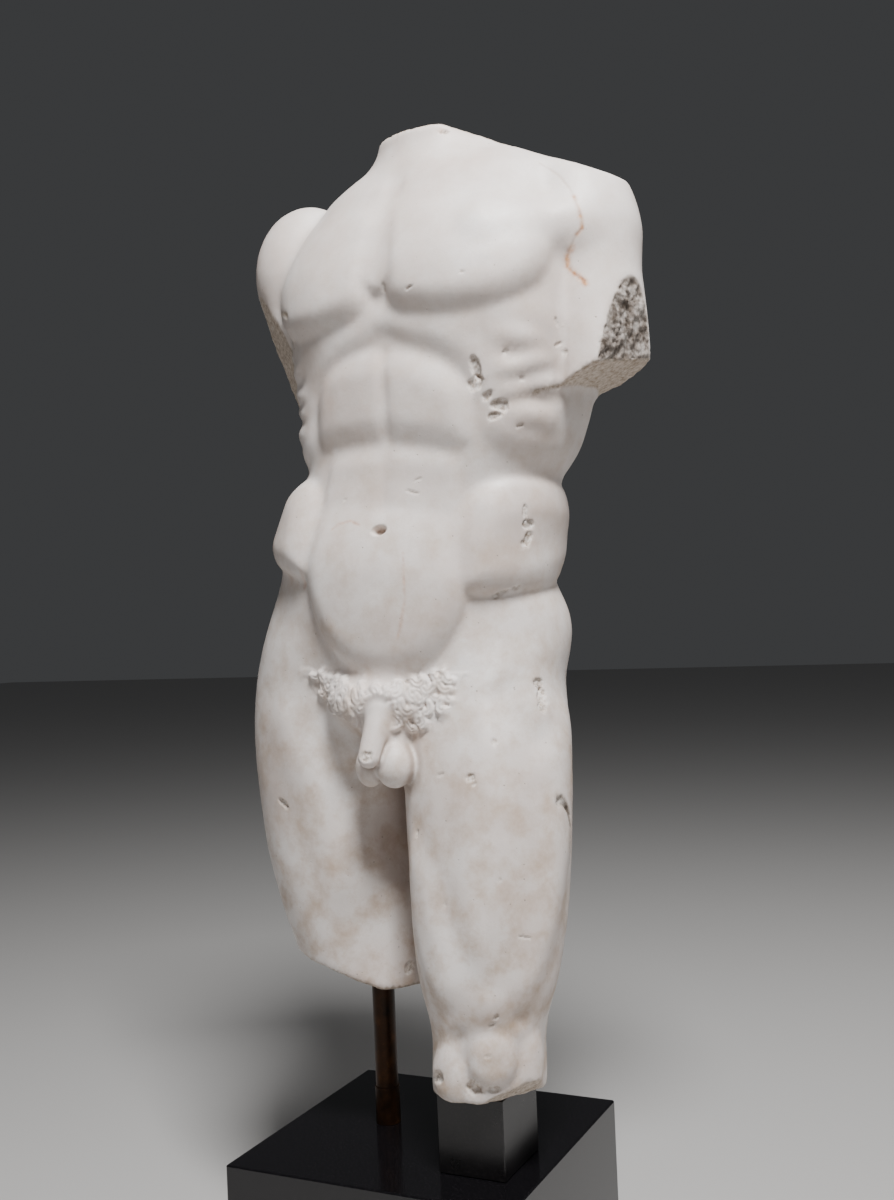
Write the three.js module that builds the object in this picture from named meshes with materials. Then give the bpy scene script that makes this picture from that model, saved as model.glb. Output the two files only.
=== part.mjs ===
// Marble torso of a youth on one knee block and a round rod, all on a polished black stone base.
// Units mm. +Z up, front faces -Y, the statue's own left is +X.
// Origin: centre of the underside of the base.
import * as THREE from 'three';
import { ConvexGeometry } from 'three/addons/geometries/ConvexGeometry.js';

// ---------------------------------------------------------------- driving sizes
const GAP = 0.3;                                      // left between pieces that touch
const BASE = { width: 320, depth: 304, height: 150, arris: 1.6 };
const KNEE_BLOCK = { left: 58, right: 130, front: -94, back: -6, top: 230, arris: 0.8 };
const ROD = { x: -55, y: 10, radius: 12.4, top: 312 };
const ROD_FOOT = { radius: 13.6, height: 40 };
const TORSO_TRIANGLES = 8800;
const GRID = 10;                                      // cell of the grid the marble is cut from

// ---------------------------------------------------------------- trunk, level by level
// level, centre x, centre y, turn of the front towards -X (deg), lean of the level (rise per mm)
const TRUNK_AXIS = [
  [500, -4, 2, -5, 0.13], [600, -2, 2, -5, 0.13], [650, 4, 2, -5, 0.13], [720, 11, 2, -5, 0.13],
  [780, 16, 2, -4, 0.12], [830, 28, 2, -1, 0.09], [880, 42, 2, 4, 0.05], [940, 50, 2, 7, 0.02],
  [1010, 52, 2, 8.5, 0], [1100, 52, 2, 8.5, 0], [1160, 54, 6, 8.5, 0], [1260, 57, 12, 8.5, 0],
];
// level, half width, depth in front, depth behind, roundness power
const TRUNK_SECTION = [
  [500, 90, 60, 70, 2], [560, 128, 74, 98, 2.1], [620, 152, 84, 108, 2.2],
  [680, 160, 92, 108, 2.2], [740, 153, 96, 98, 2.25], [790, 142, 98, 86, 2.3],
  [840, 139, 96, 84, 2.3], [880, 143, 98, 89, 2.3], [940, 157, 102, 102, 2.3],
  [1000, 165, 104, 114, 2.35], [1060, 165, 100, 118, 2.35], [1110, 160, 92, 112, 2.3],
  [1145, 150, 80, 104, 2.2], [1163, 136, 73, 96, 2.2], [1178, 112, 66, 88, 2.1],
  [1190, 88, 60, 78, 2], [1205, 66, 56, 66, 2], [1260, 60, 56, 60, 2],
];
const RIGHT_THIGH_AXIS = [
  [740, -66, 8, 0, 0], [680, -82, 8, 0, 0], [620, -92, 8, 0, 0], [560, -95, 8, 0, 0],
  [500, -94, 8, 0, 0], [460, -92, 8, 0, 0], [400, -84, 8, 0, 0], [340, -72, 8, 0, 0],
  [280, -60, 8, 0, 0],
];
const RIGHT_THIGH_SECTION = [
  [740, 70, 60, 70, 2], [680, 95, 80, 96, 2.1], [620, 99, 84, 100, 2.1], [560, 97, 86, 98, 2.1],
  [500, 93, 84, 94, 2.1], [460, 90, 82, 90, 2.1], [400, 83, 78, 84, 2.1], [340, 75, 72, 76, 2],
  [280, 66, 66, 68, 2],
];
const LEFT_THIGH_AXIS = [
  [720, 74, 2, 0, 0], [640, 86, -6, 0, 0], [560, 95, -20, 0, 0], [460, 101, -35, 0, 0],
  [380, 102, -46, 0, 0], [320, 102, -54, 0, 0], [270, 102, -58, 0, 0], [215, 101, -60, 0, 0],
];
const LEFT_THIGH_SECTION = [
  [720, 70, 60, 70, 2], [640, 88, 76, 92, 2.1], [560, 87, 80, 92, 2.1], [460, 84, 77, 84, 2.1],
  [380, 77, 73, 78, 2.1], [330, 69, 67, 72, 2], [300, 60, 60, 66, 2], [270, 56, 55, 60, 2.2],
  [240, 56, 55, 60, 2.3], [215, 54, 53, 54, 2.2],
];

// ---------------------------------------------------------------- carved masses and marks
// A mass is an outline on the body (degrees round from the front, level), raised by `rise`,
// rounded over `edge`; crisp 1 starts with a fold line, crisp 0 swells softly out.
// Outlines that start and end on 0 close across the middle line; an outline with a degree
// below 0 is a whole one and is not mirrored.
const TRUNK_MASSES = [
  { name: 'pectoral', rise: 18, edge: 29, crisp: 0.75, fade: [1180, 1050],
    outline: [[3, 1130], [2, 1075], [3, 1040], [6, 1023], [13, 1012], [25, 1006], [38, 1002],
      [50, 1003], [60, 1009], [69, 1022], [75, 1041], [79, 1070], [82, 1110], [70, 1150],
      [30, 1165]] },
  { name: 'breast bone', rise: 14, edge: 22, crisp: 0.2, fade: [1175, 1050],
    outline: [[0, 1022], [10, 1032], [18, 1060], [20, 1160], [0, 1180]] },
  { name: 'rib cage', rise: 6, edge: 18, crisp: 0.5,
    outline: [[0, 992], [14, 982], [28, 972], [38, 958], [45, 938], [48, 910], [50, 892], [57, 876],
      [70, 868], [90, 866], [112, 880], [112, 1060], [60, 1080], [0, 1080]] },
  { name: 'upper belly', rise: 8, edge: 27, crisp: 0.5,
    outline: [[0, 884], [10, 883], [24, 879], [38, 875], [46, 882], [47, 906], [45, 930], [39, 948],
      [27, 963], [14, 972], [0, 978], [-14, 980], [-30, 977], [-44, 964], [-51, 934], [-52, 900],
      [-46, 882], [-30, 884], [-12, 886]] },
  { name: 'middle belly', rise: 3, edge: 14, crisp: 0.3,
    outline: [[0, 812], [20, 812], [38, 806], [43, 820], [43, 850], [40, 870], [24, 876],
      [0, 878]] },
  { name: 'belly', rise: 14, edge: 32, crisp: 0.7, fade: [850, 745],
    outline: [[0, 643], [14, 648], [25, 659], [34, 676], [40, 697], [44, 722], [46, 748], [45, 790],
      [44, 840], [30, 870], [0, 880]] },
  { name: 'flank over the hip', rise: 18, edge: 31, crisp: 0.75,
    outline: [[39, 748], [44, 741], [51, 741], [61, 744], [73, 749], [88, 756], [104, 766],
      [126, 786], [124, 828], [104, 848], [84, 853], [67, 853], [55, 847], [47, 836], [42, 815],
      [39, 790], [38, 768]] },
  { name: 'back muscle', rise: 9, edge: 26, crisp: 0.4,
    outline: [[85, 1090], [86, 1000], [88, 940], [92, 895], [102, 866], [125, 850], [150, 880],
      [156, 1000], [150, 1100]] },
];
const LEFT_THIGH_MASSES = [
  { name: 'front thigh muscle', rise: 5, edge: 34, crisp: 0.15,
    outline: [[20, 352], [32, 368], [42, 405], [48, 460], [48, 520], [42, 580], [28, 634],
      [12, 594], [-2, 544], [-9, 490], [-11, 440], [-6, 400], [6, 368]] },
  { name: 'inner teardrop', rise: 6, edge: 28, crisp: 0.15,
    outline: [[-16, 456], [-5, 412], [5, 372], [6, 342], [-6, 322], [-22, 318], [-42, 345],
      [-56, 400], [-58, 470], [-38, 500]] },
  { name: 'outer thigh muscle', rise: 5, edge: 34, crisp: 0.1,
    outline: [[62, 566], [55, 510], [52, 450], [46, 400], [38, 362], [37, 336], [52, 322],
      [74, 338], [96, 420], [112, 520], [116, 600], [90, 626]] },
  { name: 'knee cap', rise: 10, edge: 20, crisp: 0.7,
    outline: [[26, 246], [44, 252], [53, 270], [46, 292], [28, 300], [9, 293], [1, 272],
      [8, 253]] },
  { name: 'inner knee', rise: 8, edge: 19, crisp: 0.6,
    outline: [[-18, 226], [-4, 238], [-1, 262], [-12, 282], [-30, 284], [-46, 266], [-40, 236]] },
  { name: 'outer knee', rise: 7, edge: 18, crisp: 0.6,
    outline: [[60, 230], [57, 262], [61, 288], [76, 294], [92, 278], [90, 244], [76, 228]] },
];
// A stroke runs along a line; a pad is a soft oval. rise < 0 is cut in.
const TRUNK_MARKS = [
  { name: 'breast groove', line: [[0, 1150], [0, 1080], [0, 1012]], rise: -1.5, width: 12,
    ends: 0.12 },
  { name: 'collar bone', line: [[6, 1150], [30, 1158], [58, 1152]], rise: 2, width: 12, ends: 0.1 },
  { name: 'upper middle line', line: [[0, 984], [0, 930], [0, 880]], rise: -3, width: 8,
    ends: 0.1 },
  { name: 'lower middle line', line: [[0, 875], [0, 812]], rise: -1.5, width: 9, ends: 0.1 },
  { name: 'rib gap 1', line: [[55, 956], [63, 962], [74, 968]], rise: -2.5, width: 7, ends: 0.25 },
  { name: 'rib gap 2', line: [[54, 932], [61, 937], [72, 945], [80, 951]], rise: -3, width: 7,
    ends: 0.25 },
  { name: 'rib gap 3', line: [[56, 914], [65, 921], [76, 925], [86, 931]], rise: -3, width: 7,
    ends: 0.25 },
  { name: 'spine furrow', line: [[180, 1170], [180, 1000], [180, 850], [180, 700]], rise: -12,
    width: 15, ends: 0.1 },
  { name: 'loin cord', line: [[166, 1000], [164, 880], [162, 760]], rise: 7, width: 22, ends: 0.2 },
  { name: 'blade edge', line: [[158, 1130], [154, 1060], [143, 990], [122, 975]], rise: -4,
    width: 13, ends: 0.2 },
  { name: 'throat pit', pad: [0, 1158], half: [20, 14], rise: -3, soft: 0.9 },
  { name: 'lower breast', pad: [46, 1044], half: [60, 44], rise: 6, soft: 0.9 },
  { name: 'belly swell', pad: [0, 744], half: [92, 84], rise: 8, soft: 0.9 },
  { name: 'rib 1', pad: [62, 998], half: [25, 17], rise: 2, soft: 0.9, lean: -0.3 },
  { name: 'rib 2', pad: [63, 975], half: [17, 9], rise: 4, soft: 0.8, lean: -0.3 },
  { name: 'rib 3', pad: [68, 940], half: [32, 26], rise: 2, soft: 0.8, lean: -0.3 },
  { name: 'rib 3 fore', pad: [60, 948], half: [11, 8], rise: 3.5, soft: 0.8, lean: -0.2 },
  { name: 'rib 3 side', pad: [68, 955], half: [11, 9], rise: 4, soft: 0.8, lean: -0.3 },
  { name: 'rib 4 fore', pad: [61, 929], half: [11, 8], rise: 3.5, soft: 0.8, lean: -0.2 },
  { name: 'rib 4 side', pad: [71, 934], half: [12, 9], rise: 4, soft: 0.8, lean: -0.3 },
  { name: 'rib 5 fore', pad: [65, 908], half: [12, 9], rise: 3.5, soft: 0.8, lean: -0.2 },
  { name: 'rib 5 side', pad: [74, 904], half: [12, 9], rise: 3.5, soft: 0.8, lean: -0.3 },
  { name: 'low ribs', pad: [67, 890], half: [34, 22], rise: 4, soft: 0.8, lean: -0.2 },
  { name: 'side muscle', pad: [102, 904], half: [44, 52], rise: 7, soft: 0.9, once: true },
  { name: 'left hip', pad: [98, 712], half: [56, 34], rise: 11, soft: 0.9, once: true },
  { name: 'right hip', pad: [-96, 668], half: [56, 44], rise: 9, soft: 0.9, once: true },
  { name: 'shoulder blade', pad: [140, 1060], half: [60, 64], rise: 8, soft: 0.8 },
  { name: 'navel', pad: [2, 797], half: [9, 6], rise: -7, soft: 0.6, once: true },
];
const LEFT_THIGH_MARKS = [
  { name: 'hip hollow', line: [[30, 646], [46, 612], [60, 580], [72, 560]], rise: -6, width: 22,
    ends: 0.25, once: true },
  { name: 'knee tendon', line: [[24, 348], [24, 305]], rise: 3, width: 16, ends: 0.4, once: true },
  { name: 'inner knee dip', line: [[-10, 306], [-4, 284]], rise: -5, width: 14, ends: 0.4,
    once: true },
  { name: 'outer knee dip', line: [[56, 324], [54, 300]], rise: -4, width: 13, ends: 0.4,
    once: true },
  { name: 'thigh swell', pad: [20, 490], half: [60, 150], rise: 4, soft: 0.95, once: true },
  { name: 'hip dent', pad: [90, 640], half: [46, 20], rise: -6, soft: 0.9, once: true },
];
const RIGHT_THIGH_MARKS = [
  { name: 'thigh ridge', line: [[-24, 650], [0, 570], [14, 510], [26, 440], [32, 380]], rise: 6,
    width: 30, ends: 0.2, once: true },
  { name: 'inner hollow', line: [[24, 600], [44, 544], [60, 478], [76, 412]], rise: -4, width: 20,
    ends: 0.2, once: true },
];

// ---------------------------------------------------------------- small helpers
const RAD = Math.PI / 180;
const clamp = (v, lo, hi) => Math.min(Math.max(v, lo), hi);
const ease = (t) => {
  const c = clamp(t, 0, 1);
  return c * c * (3 - 2 * c);
};
// soft join and soft cut of two distances, blended over k
function join(a, b, k) {
  const h = Math.max(k - Math.abs(a - b), 0) / k;
  return Math.min(a, b) - h * h * k * 0.25;
}
function cut(a, b, k) {
  return -join(-a, -b, k);
}
// smooth run through the levels, kept per millimetre
function levels(rows) {
  const sorted = [...rows].sort((p, q) => p[0] - q[0]);
  const z = sorted.map((r) => r[0]);
  const n = z.length;
  const cols = rows[0].length - 1;
  const step = z.slice(1).map((v, i) => v - z[i]);
  const slope = (i, c) => (sorted[i + 1][c] - sorted[i][c]) / step[i];
  const tangent = (i, c) => {
    if (i === 0) return slope(0, c);
    if (i === n - 1) return slope(n - 2, c);
    const before = slope(i - 1, c);
    const after = slope(i, c);
    if (before * after <= 0) return 0;
    return (before * step[i] + after * step[i - 1]) / (step[i] + step[i - 1]);
  };
  const first = z[0];
  const count = z[n - 1] - first + 1;
  const kept = [];
  for (let m = 0, i = 0; m < count; m += 1) {
    while (i < n - 2 && first + m >= z[i + 1]) i += 1;
    const t = (first + m - z[i]) / step[i];
    const row = [];
    for (let c = 1; c <= cols; c += 1) {
      row.push((2 * t ** 3 - 3 * t ** 2 + 1) * sorted[i][c]
        + (t ** 3 - 2 * t ** 2 + t) * step[i] * tangent(i, c)
        + (3 * t ** 2 - 2 * t ** 3) * sorted[i + 1][c]
        + (t ** 3 - t ** 2) * step[i] * tangent(i + 1, c));
    }
    kept.push(row);
  }
  return (level) => {
    const q = clamp(level - first, 0, count - 1.001);
    const i = Math.floor(q);
    const f = q - i;
    return kept[i].map((v, c) => v * (1 - f) + kept[i + 1][c] * f);
  };
}
// smooth line through a few points
function smoothLine(points, closed, parts) {
  const n = points.length;
  const at = (i) => {
    if (closed) return points[(i + n) % n];
    if (i < 0) return points[0].map((v, k) => 2 * v - points[1][k]);
    if (i >= n) return points[n - 1].map((v, k) => 2 * v - points[n - 2][k]);
    return points[i];
  };
  const out = [];
  for (let i = 0; i < (closed ? n : n - 1); i += 1) {
    const [a, b, c, d] = [at(i - 1), at(i), at(i + 1), at(i + 2)];
    for (let j = 0; j < parts; j += 1) {
      const t = j / parts;
      out.push(b.map((v, k) => 0.5 * (2 * v + (c[k] - a[k]) * t
        + (2 * a[k] - 5 * v + 4 * c[k] - d[k]) * t * t
        + (-a[k] + 3 * v - 3 * c[k] + d[k]) * t ** 3)));
    }
  }
  if (!closed) out.push(points[n - 1]);
  return out;
}

// ---------------------------------------------------------------- a body part lofted up its height
class Column {
  constructor(axis, section, roundRadius, masses, marks) {
    this.axis = levels(axis);
    this.section = levels(section);
    this.relief = new Relief(roundRadius, masses, marks, axis);
  }

  // world point to the part's own across, fore-aft and level
  chart(x, y, z) {
    const [near, , , lean] = this.axis(z);
    const w = z + lean * (x - near);
    const [cx, cy, turn] = this.axis(w);
    const c = Math.cos(turn * RAD);
    const s = Math.sin(turn * RAD);
    return [(x - cx) * c - (y - cy) * s, (x - cx) * s + (y - cy) * c, w];
  }

  distance(x, y, z) {
    const [u, v, w] = this.chart(x, y, z);
    const [a, front, behind, power] = this.section(w);
    const b = v < 0 ? front : behind;
    const qx = Math.abs(u) / a + 1e-6;
    const qy = Math.abs(v) / b + 1e-6;
    const rho = (qx ** power + qy ** power) ** (1 / power);
    const grad = Math.hypot(qx ** (power - 1) / a, qy ** (power - 1) / b) / rho ** (power - 1);
    const d = Math.max((rho - 1) / grad, -0.9 * Math.min(a, b));
    if (d > 45) return d - 10;
    return d - this.relief.at(Math.atan2(u, -v) / RAD, w) * clamp(1 + d / 60, 0, 1);
  }
}

// ---------------------------------------------------------------- carved height over a part
class Relief {
  constructor(roundRadius, masses, marks, axis) {
    this.per = roundRadius * RAD;
    this.step = 4;
    const zs = axis.map((r) => r[0]);
    this.low = Math.min(...zs);
    this.rows = Math.ceil((Math.min(Math.max(...zs), 1200) - this.low) / this.step) + 1;
    this.cols = Math.ceil((360 * this.per) / this.step);
    this.pitch = (360 * this.per) / this.cols;
    const mass = masses.map((m) => ({ ...m, line: this.outline(m) }));
    const mark = marks.map((m) => ({ ...m, run: m.line && smoothLine(this.scaled(m.line), false, 4) }));
    this.height = new Float64Array(this.cols * this.rows);
    for (let i = 0; i < this.cols; i += 1) {
      for (let j = 0; j < this.rows; j += 1) {
        const s = (i + 0.5) * this.pitch - 180 * this.per;
        const w = this.low + j * this.step;
        let h = 0;
        for (const m of mass) h = Math.max(h, this.massAt(m, m.mirror ? Math.abs(s) : s, w));
        for (const m of mark) h += this.markAt(m, m.once ? s : Math.abs(s), w);
        this.height[i * this.rows + j] = h;
      }
    }
    this.soften();
  }

  scaled(line) {
    return line.map(([deg, w]) => [deg * this.per, w]);
  }

  outline(m) {
    let pts = this.scaled(m.outline);
    if (pts[0][0] === 0 && pts[pts.length - 1][0] === 0) {
      const other = pts.map(([s, w]) => [-s, w]).reverse().slice(1, -1);
      pts = [...pts, ...other];
    }
    return smoothLine(pts, true, 3);
  }

  massAt(m, s, w) {
    let inside = false;
    let best = Infinity;
    for (let i = 0, k = m.line.length - 1; i < m.line.length; k = i, i += 1) {
      const [ax, ay] = m.line[k];
      const [bx, by] = m.line[i];
      const ex = bx - ax;
      const ey = by - ay;
      const t = clamp(((s - ax) * ex + (w - ay) * ey) / (ex * ex + ey * ey + 1e-9), 0, 1);
      best = Math.min(best, Math.hypot(s - ax - t * ex, w - ay - t * ey));
      if ((ay > w) !== (by > w) && s < (ex * (w - ay)) / ey + ax) inside = !inside;
    }
    if (!inside) return 0;
    const t = Math.min(best / m.edge, 1);
    const shape = m.crisp * Math.sqrt(1 - (1 - t) ** 2) + (1 - m.crisp) * ease(t);
    const fade = m.fade ? ease((m.fade[0] - w) / (m.fade[0] - m.fade[1])) : 1;
    return m.rise * shape * fade;
  }

  markAt(m, s, w) {
    if (m.pad) {
      const c = Math.cos(m.lean ?? 0);
      const n = Math.sin(m.lean ?? 0);
      const a = s - m.pad[0] * this.per;
      const b = w - m.pad[1];
      const rho = Math.hypot((a * c + b * n) / m.half[0], (b * c - a * n) / m.half[1]);
      return m.rise * ease((1 + m.soft - rho) / (2 * m.soft));
    }
    let best = Infinity;
    let share = 0;
    let run = 0;
    let total = 0;
    for (let i = 1; i < m.run.length; i += 1) {
      total += Math.hypot(m.run[i][0] - m.run[i - 1][0], m.run[i][1] - m.run[i - 1][1]);
    }
    for (let i = 1; i < m.run.length; i += 1) {
      const [ax, ay] = m.run[i - 1];
      const ex = m.run[i][0] - ax;
      const ey = m.run[i][1] - ay;
      const length = Math.hypot(ex, ey);
      const t = clamp(((s - ax) * ex + (w - ay) * ey) / (length * length), 0, 1);
      const d = Math.hypot(s - ax - t * ex, w - ay - t * ey);
      if (d < best) {
        best = d;
        share = (run + t * length) / total;
      }
      run += length;
    }
    return m.rise * Math.exp(-((best / m.width) ** 2)) * ease(Math.min(share, 1 - share) / m.ends);
  }

  // worn surface: one light averaging pass each way
  soften() {
    const { cols, rows } = this;
    const pass = (from, get) => from.map((v, k) => {
      const [before, after] = get(Math.floor(k / rows), k % rows);
      return 0.5 * v + 0.25 * (from[before] + from[after]);
    });
    const round = pass(this.height, (i, j) => [((i + cols - 1) % cols) * rows + j,
      ((i + 1) % cols) * rows + j]);
    this.height = pass(round, (i, j) => [i * rows + Math.max(j - 1, 0),
      i * rows + Math.min(j + 1, rows - 1)]);
  }

  at(deg, w) {
    const a = ((deg + 180) * this.per) / this.pitch - 0.5;
    const b = clamp((w - this.low) / this.step, 0, this.rows - 1.001);
    const i = Math.floor(a);
    const j = Math.floor(b);
    const i0 = (i + this.cols) % this.cols;
    const i1 = (i + 1 + this.cols) % this.cols;
    const h = (p, q) => this.height[p * this.rows + q];
    return (h(i0, j) * (1 - a + i) + h(i1, j) * (a - i)) * (1 - b + j)
      + (h(i0, j + 1) * (1 - a + i) + h(i1, j + 1) * (a - i)) * (b - j);
  }
}

const TRUNK = new Column(TRUNK_AXIS, TRUNK_SECTION, 130,
  TRUNK_MASSES.map((m) => ({ ...m, mirror: m.outline.every(([deg]) => deg >= 0) })), TRUNK_MARKS);
const LEFT_THIGH = new Column(LEFT_THIGH_AXIS, LEFT_THIGH_SECTION, 80,
  LEFT_THIGH_MASSES, LEFT_THIGH_MARKS);
const RIGHT_THIGH = new Column(RIGHT_THIGH_AXIS, RIGHT_THIGH_SECTION, 90, [], RIGHT_THIGH_MARKS);

// ---------------------------------------------------------------- simple round forms
function oval(x, y, z, c, r) {
  const a = (x - c[0]) / r[0];
  const b = (y - c[1]) / r[1];
  const d = (z - c[2]) / r[2];
  const near = Math.sqrt(a * a + b * b + d * d) + 1e-6;
  return (near * (near - 1)) / (Math.hypot(a / r[0], b / r[1], d / r[2]) + 1e-9);
}
function taper(x, y, z, a, b, ra, rb) {
  const e = [b[0] - a[0], b[1] - a[1], b[2] - a[2]];
  const p = [x - a[0], y - a[1], z - a[2]];
  const t = clamp((p[0] * e[0] + p[1] * e[1] + p[2] * e[2]) / (e[0] ** 2 + e[1] ** 2 + e[2] ** 2), 0, 1);
  return Math.hypot(p[0] - t * e[0], p[1] - t * e[1], p[2] - t * e[2]) - (ra + (rb - ra) * t);
}
// signed distance to a flat cut; the normal points to the side that is broken away
function flat(x, y, z, p, n) {
  return ((x - p[0]) * n[0] + (y - p[1]) * n[1] + (z - p[2]) * n[2]) / Math.hypot(...n);
}
// a point of the chest given across and fore-aft in the chest's own turned frame
function onChest(u, v, level) {
  const [cx, cy, turn] = TRUNK.axis(level);
  const c = Math.cos(turn * RAD);
  const s = Math.sin(turn * RAD);
  return [cx + u * c + v * s, cy - u * s + v * c, level];
}
const SLOPE_LEFT = [onChest(36, 18, 1190), onChest(138, 14, 1152)];
const SLOPE_RIGHT = [onChest(-36, 20, 1182), onChest(-130, 18, 1142)];
const TENDON = [onChest(104, -66, 1082), [222, -36, 1092]];

// ---------------------------------------------------------------- the whole marble, as a distance
function marble(x, y, z) {
  let d = cut(TRUNK.distance(x, y, z), 545 - TRUNK.chart(x, y, z)[2], 30);
  d = join(d, oval(x, y, z, [4, -66, 622], [58, 46, 34]), 18);                // pubic mound
  d = join(d, oval(x, y, z, [68, 80, 660], [76, 66, 90]), 20);               // buttocks
  d = join(d, oval(x, y, z, [-64, 80, 676], [76, 66, 90]), 20);
  d = join(d, taper(x, y, z, [56, 8, 1120], [60, 12, 1270], 62, 60), 26);     // neck
  d = join(d, taper(x, y, z, ...SLOPE_LEFT, 34, 25), 34);
  d = join(d, taper(x, y, z, ...SLOPE_RIGHT, 34, 26), 34);
  d = join(d, cut(RIGHT_THIGH.distance(x, y, z), z - 750, 30), 20);
  d = join(d, cut(LEFT_THIGH.distance(x, y, z), z - 715, 30), 20);
  d = join(d, leftArm(x, y, z), 9);
  d = join(d, rightArm(x, y, z), 10);
  // where the stone is lost: neck, right thigh, left knee
  d = cut(d, flat(x, y, z, [57, -45, 1217], [-0.05, -0.16, 0.98]), 3);
  d = cut(d, flat(x, y, z, [90, -20, 1219], [0.42, -0.1, 0.9]), 4);
  if (x < 20) {
    const stump = cut(ROD.top - z, flat(x, y, z, [-55, 10, 307], [-0.33, -0.27, -1]), 2);
    d = cut(d, stump, 3);
  }
  d = cut(d, KNEE_BLOCK.top - z, 3);
  d = cut(d, flat(x, y, z, [152, -78, 240], [0.55, -0.35, -0.76]), 3);
  return join(d, loins(x, y, z), 8);
}
function leftArm(x, y, z) {
  let d = join(oval(x, y, z, [215, 4, 1104], [58, 58, 74]),
    taper(x, y, z, [221, 2, 1080], [241, -10, 920], 53, 50), 24);
  d = cut(d, flat(x, y, z, [266, -27, 983], [0.92, -0.35, -0.14]), 3);        // outer break
  d = cut(d, flat(x, y, z, [237, -21, 942], [0.4, -0.05, -0.92]), 3);         // under break
  return join(d, taper(x, y, z, ...TENDON, 36, 24), 22);
}
function rightArm(x, y, z) {
  const d = join(oval(x, y, z, [-117, 22, 1108], [62, 58, 72]),
    taper(x, y, z, [-118, 20, 1090], [-128, 20, 960], 52, 46), 24);
  return cut(d, flat(x, y, z, [-155, -20, 1065], [-0.72, -0.6, -0.385]), 3);
}
function loins(x, y, z) {
  let d = taper(x, y, z, [17, -102, 614], [12, -121, 569], 13.5, 11.5);
  d = join(d, oval(x, y, z, [28, -96, 558], [20, 20, 23]), 5);
  d = join(d, oval(x, y, z, [-3, -92, 556], [15, 16, 21]), 5);
  return join(d, oval(x, y, z, [14, -80, 592], [28, 26, 28]), 12);
}

// ---------------------------------------------------------------- distance to a closed skin
// Each grid cell is split into six tetrahedra, so the skin is closed everywhere.
function skin(field, low, high, cell) {
  const n = low.map((v, i) => Math.ceil((high[i] - v) / cell) + 1);
  const id = (i, j, k) => (i * n[1] + j) * n[2] + k;
  const value = new Float64Array(n[0] * n[1] * n[2]);
  const place = (g) => {
    const k = g % n[2];
    const j = Math.floor(g / n[2]) % n[1];
    const i = Math.floor(g / (n[1] * n[2]));
    return [low[0] + i * cell, low[1] + j * cell, low[2] + k * cell];
  };
  for (let g = 0; g < value.length; g += 1) value[g] = field(...place(g)) || 1e-6;
  const points = [];
  const made = new Map();
  const cross = (a, b) => {
    const key = a < b ? a * value.length + b : b * value.length + a;
    if (!made.has(key)) {
      const t = clamp(value[a] / (value[a] - value[b]), 0.04, 0.96);
      const p = place(a);
      const q = place(b);
      points.push(p.map((v, i) => v + (q[i] - v) * t));
      made.set(key, points.length - 1);
    }
    return made.get(key);
  };
  const faces = [];
  const add = (a, b, c, inner) => {
    const [p, q, r] = [points[a], points[b], points[c]];
    const o = place(inner);
    const u = q.map((v, i) => v - p[i]);
    const v = r.map((w, i) => w - p[i]);
    const normal = [u[1] * v[2] - u[2] * v[1], u[2] * v[0] - u[0] * v[2], u[0] * v[1] - u[1] * v[0]];
    const away = normal.reduce((s, w, i) => s + w * (p[i] - o[i]), 0);
    faces.push(away >= 0 ? [a, b, c] : [a, c, b]);
  };
  const corner = [[0, 0, 0], [1, 0, 0], [1, 1, 0], [0, 1, 0], [0, 0, 1], [1, 0, 1], [1, 1, 1], [0, 1, 1]];
  const tets = [[0, 5, 1, 6], [0, 1, 2, 6], [0, 2, 3, 6], [0, 3, 7, 6], [0, 7, 4, 6], [0, 4, 5, 6]];
  for (let i = 0; i < n[0] - 1; i += 1) {
    for (let j = 0; j < n[1] - 1; j += 1) {
      for (let k = 0; k < n[2] - 1; k += 1) {
        const g = corner.map(([a, b, c]) => id(i + a, j + b, k + c));
        const solid = g.filter((q) => value[q] < 0).length;
        if (solid === 0 || solid === 8) continue;
        for (const tet of tets) {
          const inside = tet.map((q) => g[q]).filter((q) => value[q] < 0);
          const outside = tet.map((q) => g[q]).filter((q) => value[q] >= 0);
          if (inside.length === 1) {
            add(...outside.map((q) => cross(inside[0], q)), inside[0]);
          } else if (inside.length === 3) {
            const [a, b, c] = inside.map((q) => cross(q, outside[0]));
            add(a, b, c, inside[0]);
          } else if (inside.length === 2) {
            const a = cross(inside[0], outside[0]);
            const b = cross(inside[0], outside[1]);
            const c = cross(inside[1], outside[1]);
            const d = cross(inside[1], outside[0]);
            add(a, b, c, inside[0]);
            add(a, c, d, inside[0]);
          }
        }
      }
    }
  }
  return { points, faces };
}
// draw each skin point onto the carved surface
function settle(points, field, rounds, reach) {
  const e = 0.5;
  for (const p of points) {
    for (let r = 0; r < rounds; r += 1) {
      const d = field(...p);
      const g = [field(p[0] + e, p[1], p[2]) - field(p[0] - e, p[1], p[2]),
        field(p[0], p[1] + e, p[2]) - field(p[0], p[1] - e, p[2]),
        field(p[0], p[1], p[2] + e) - field(p[0], p[1], p[2] - e)];
      const length = Math.hypot(...g) + 1e-9;
      const move = clamp((d * 2 * e) / length, -reach, reach);
      for (let i = 0; i < 3; i += 1) p[i] -= (g[i] / length) * move;
    }
  }
}

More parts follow.
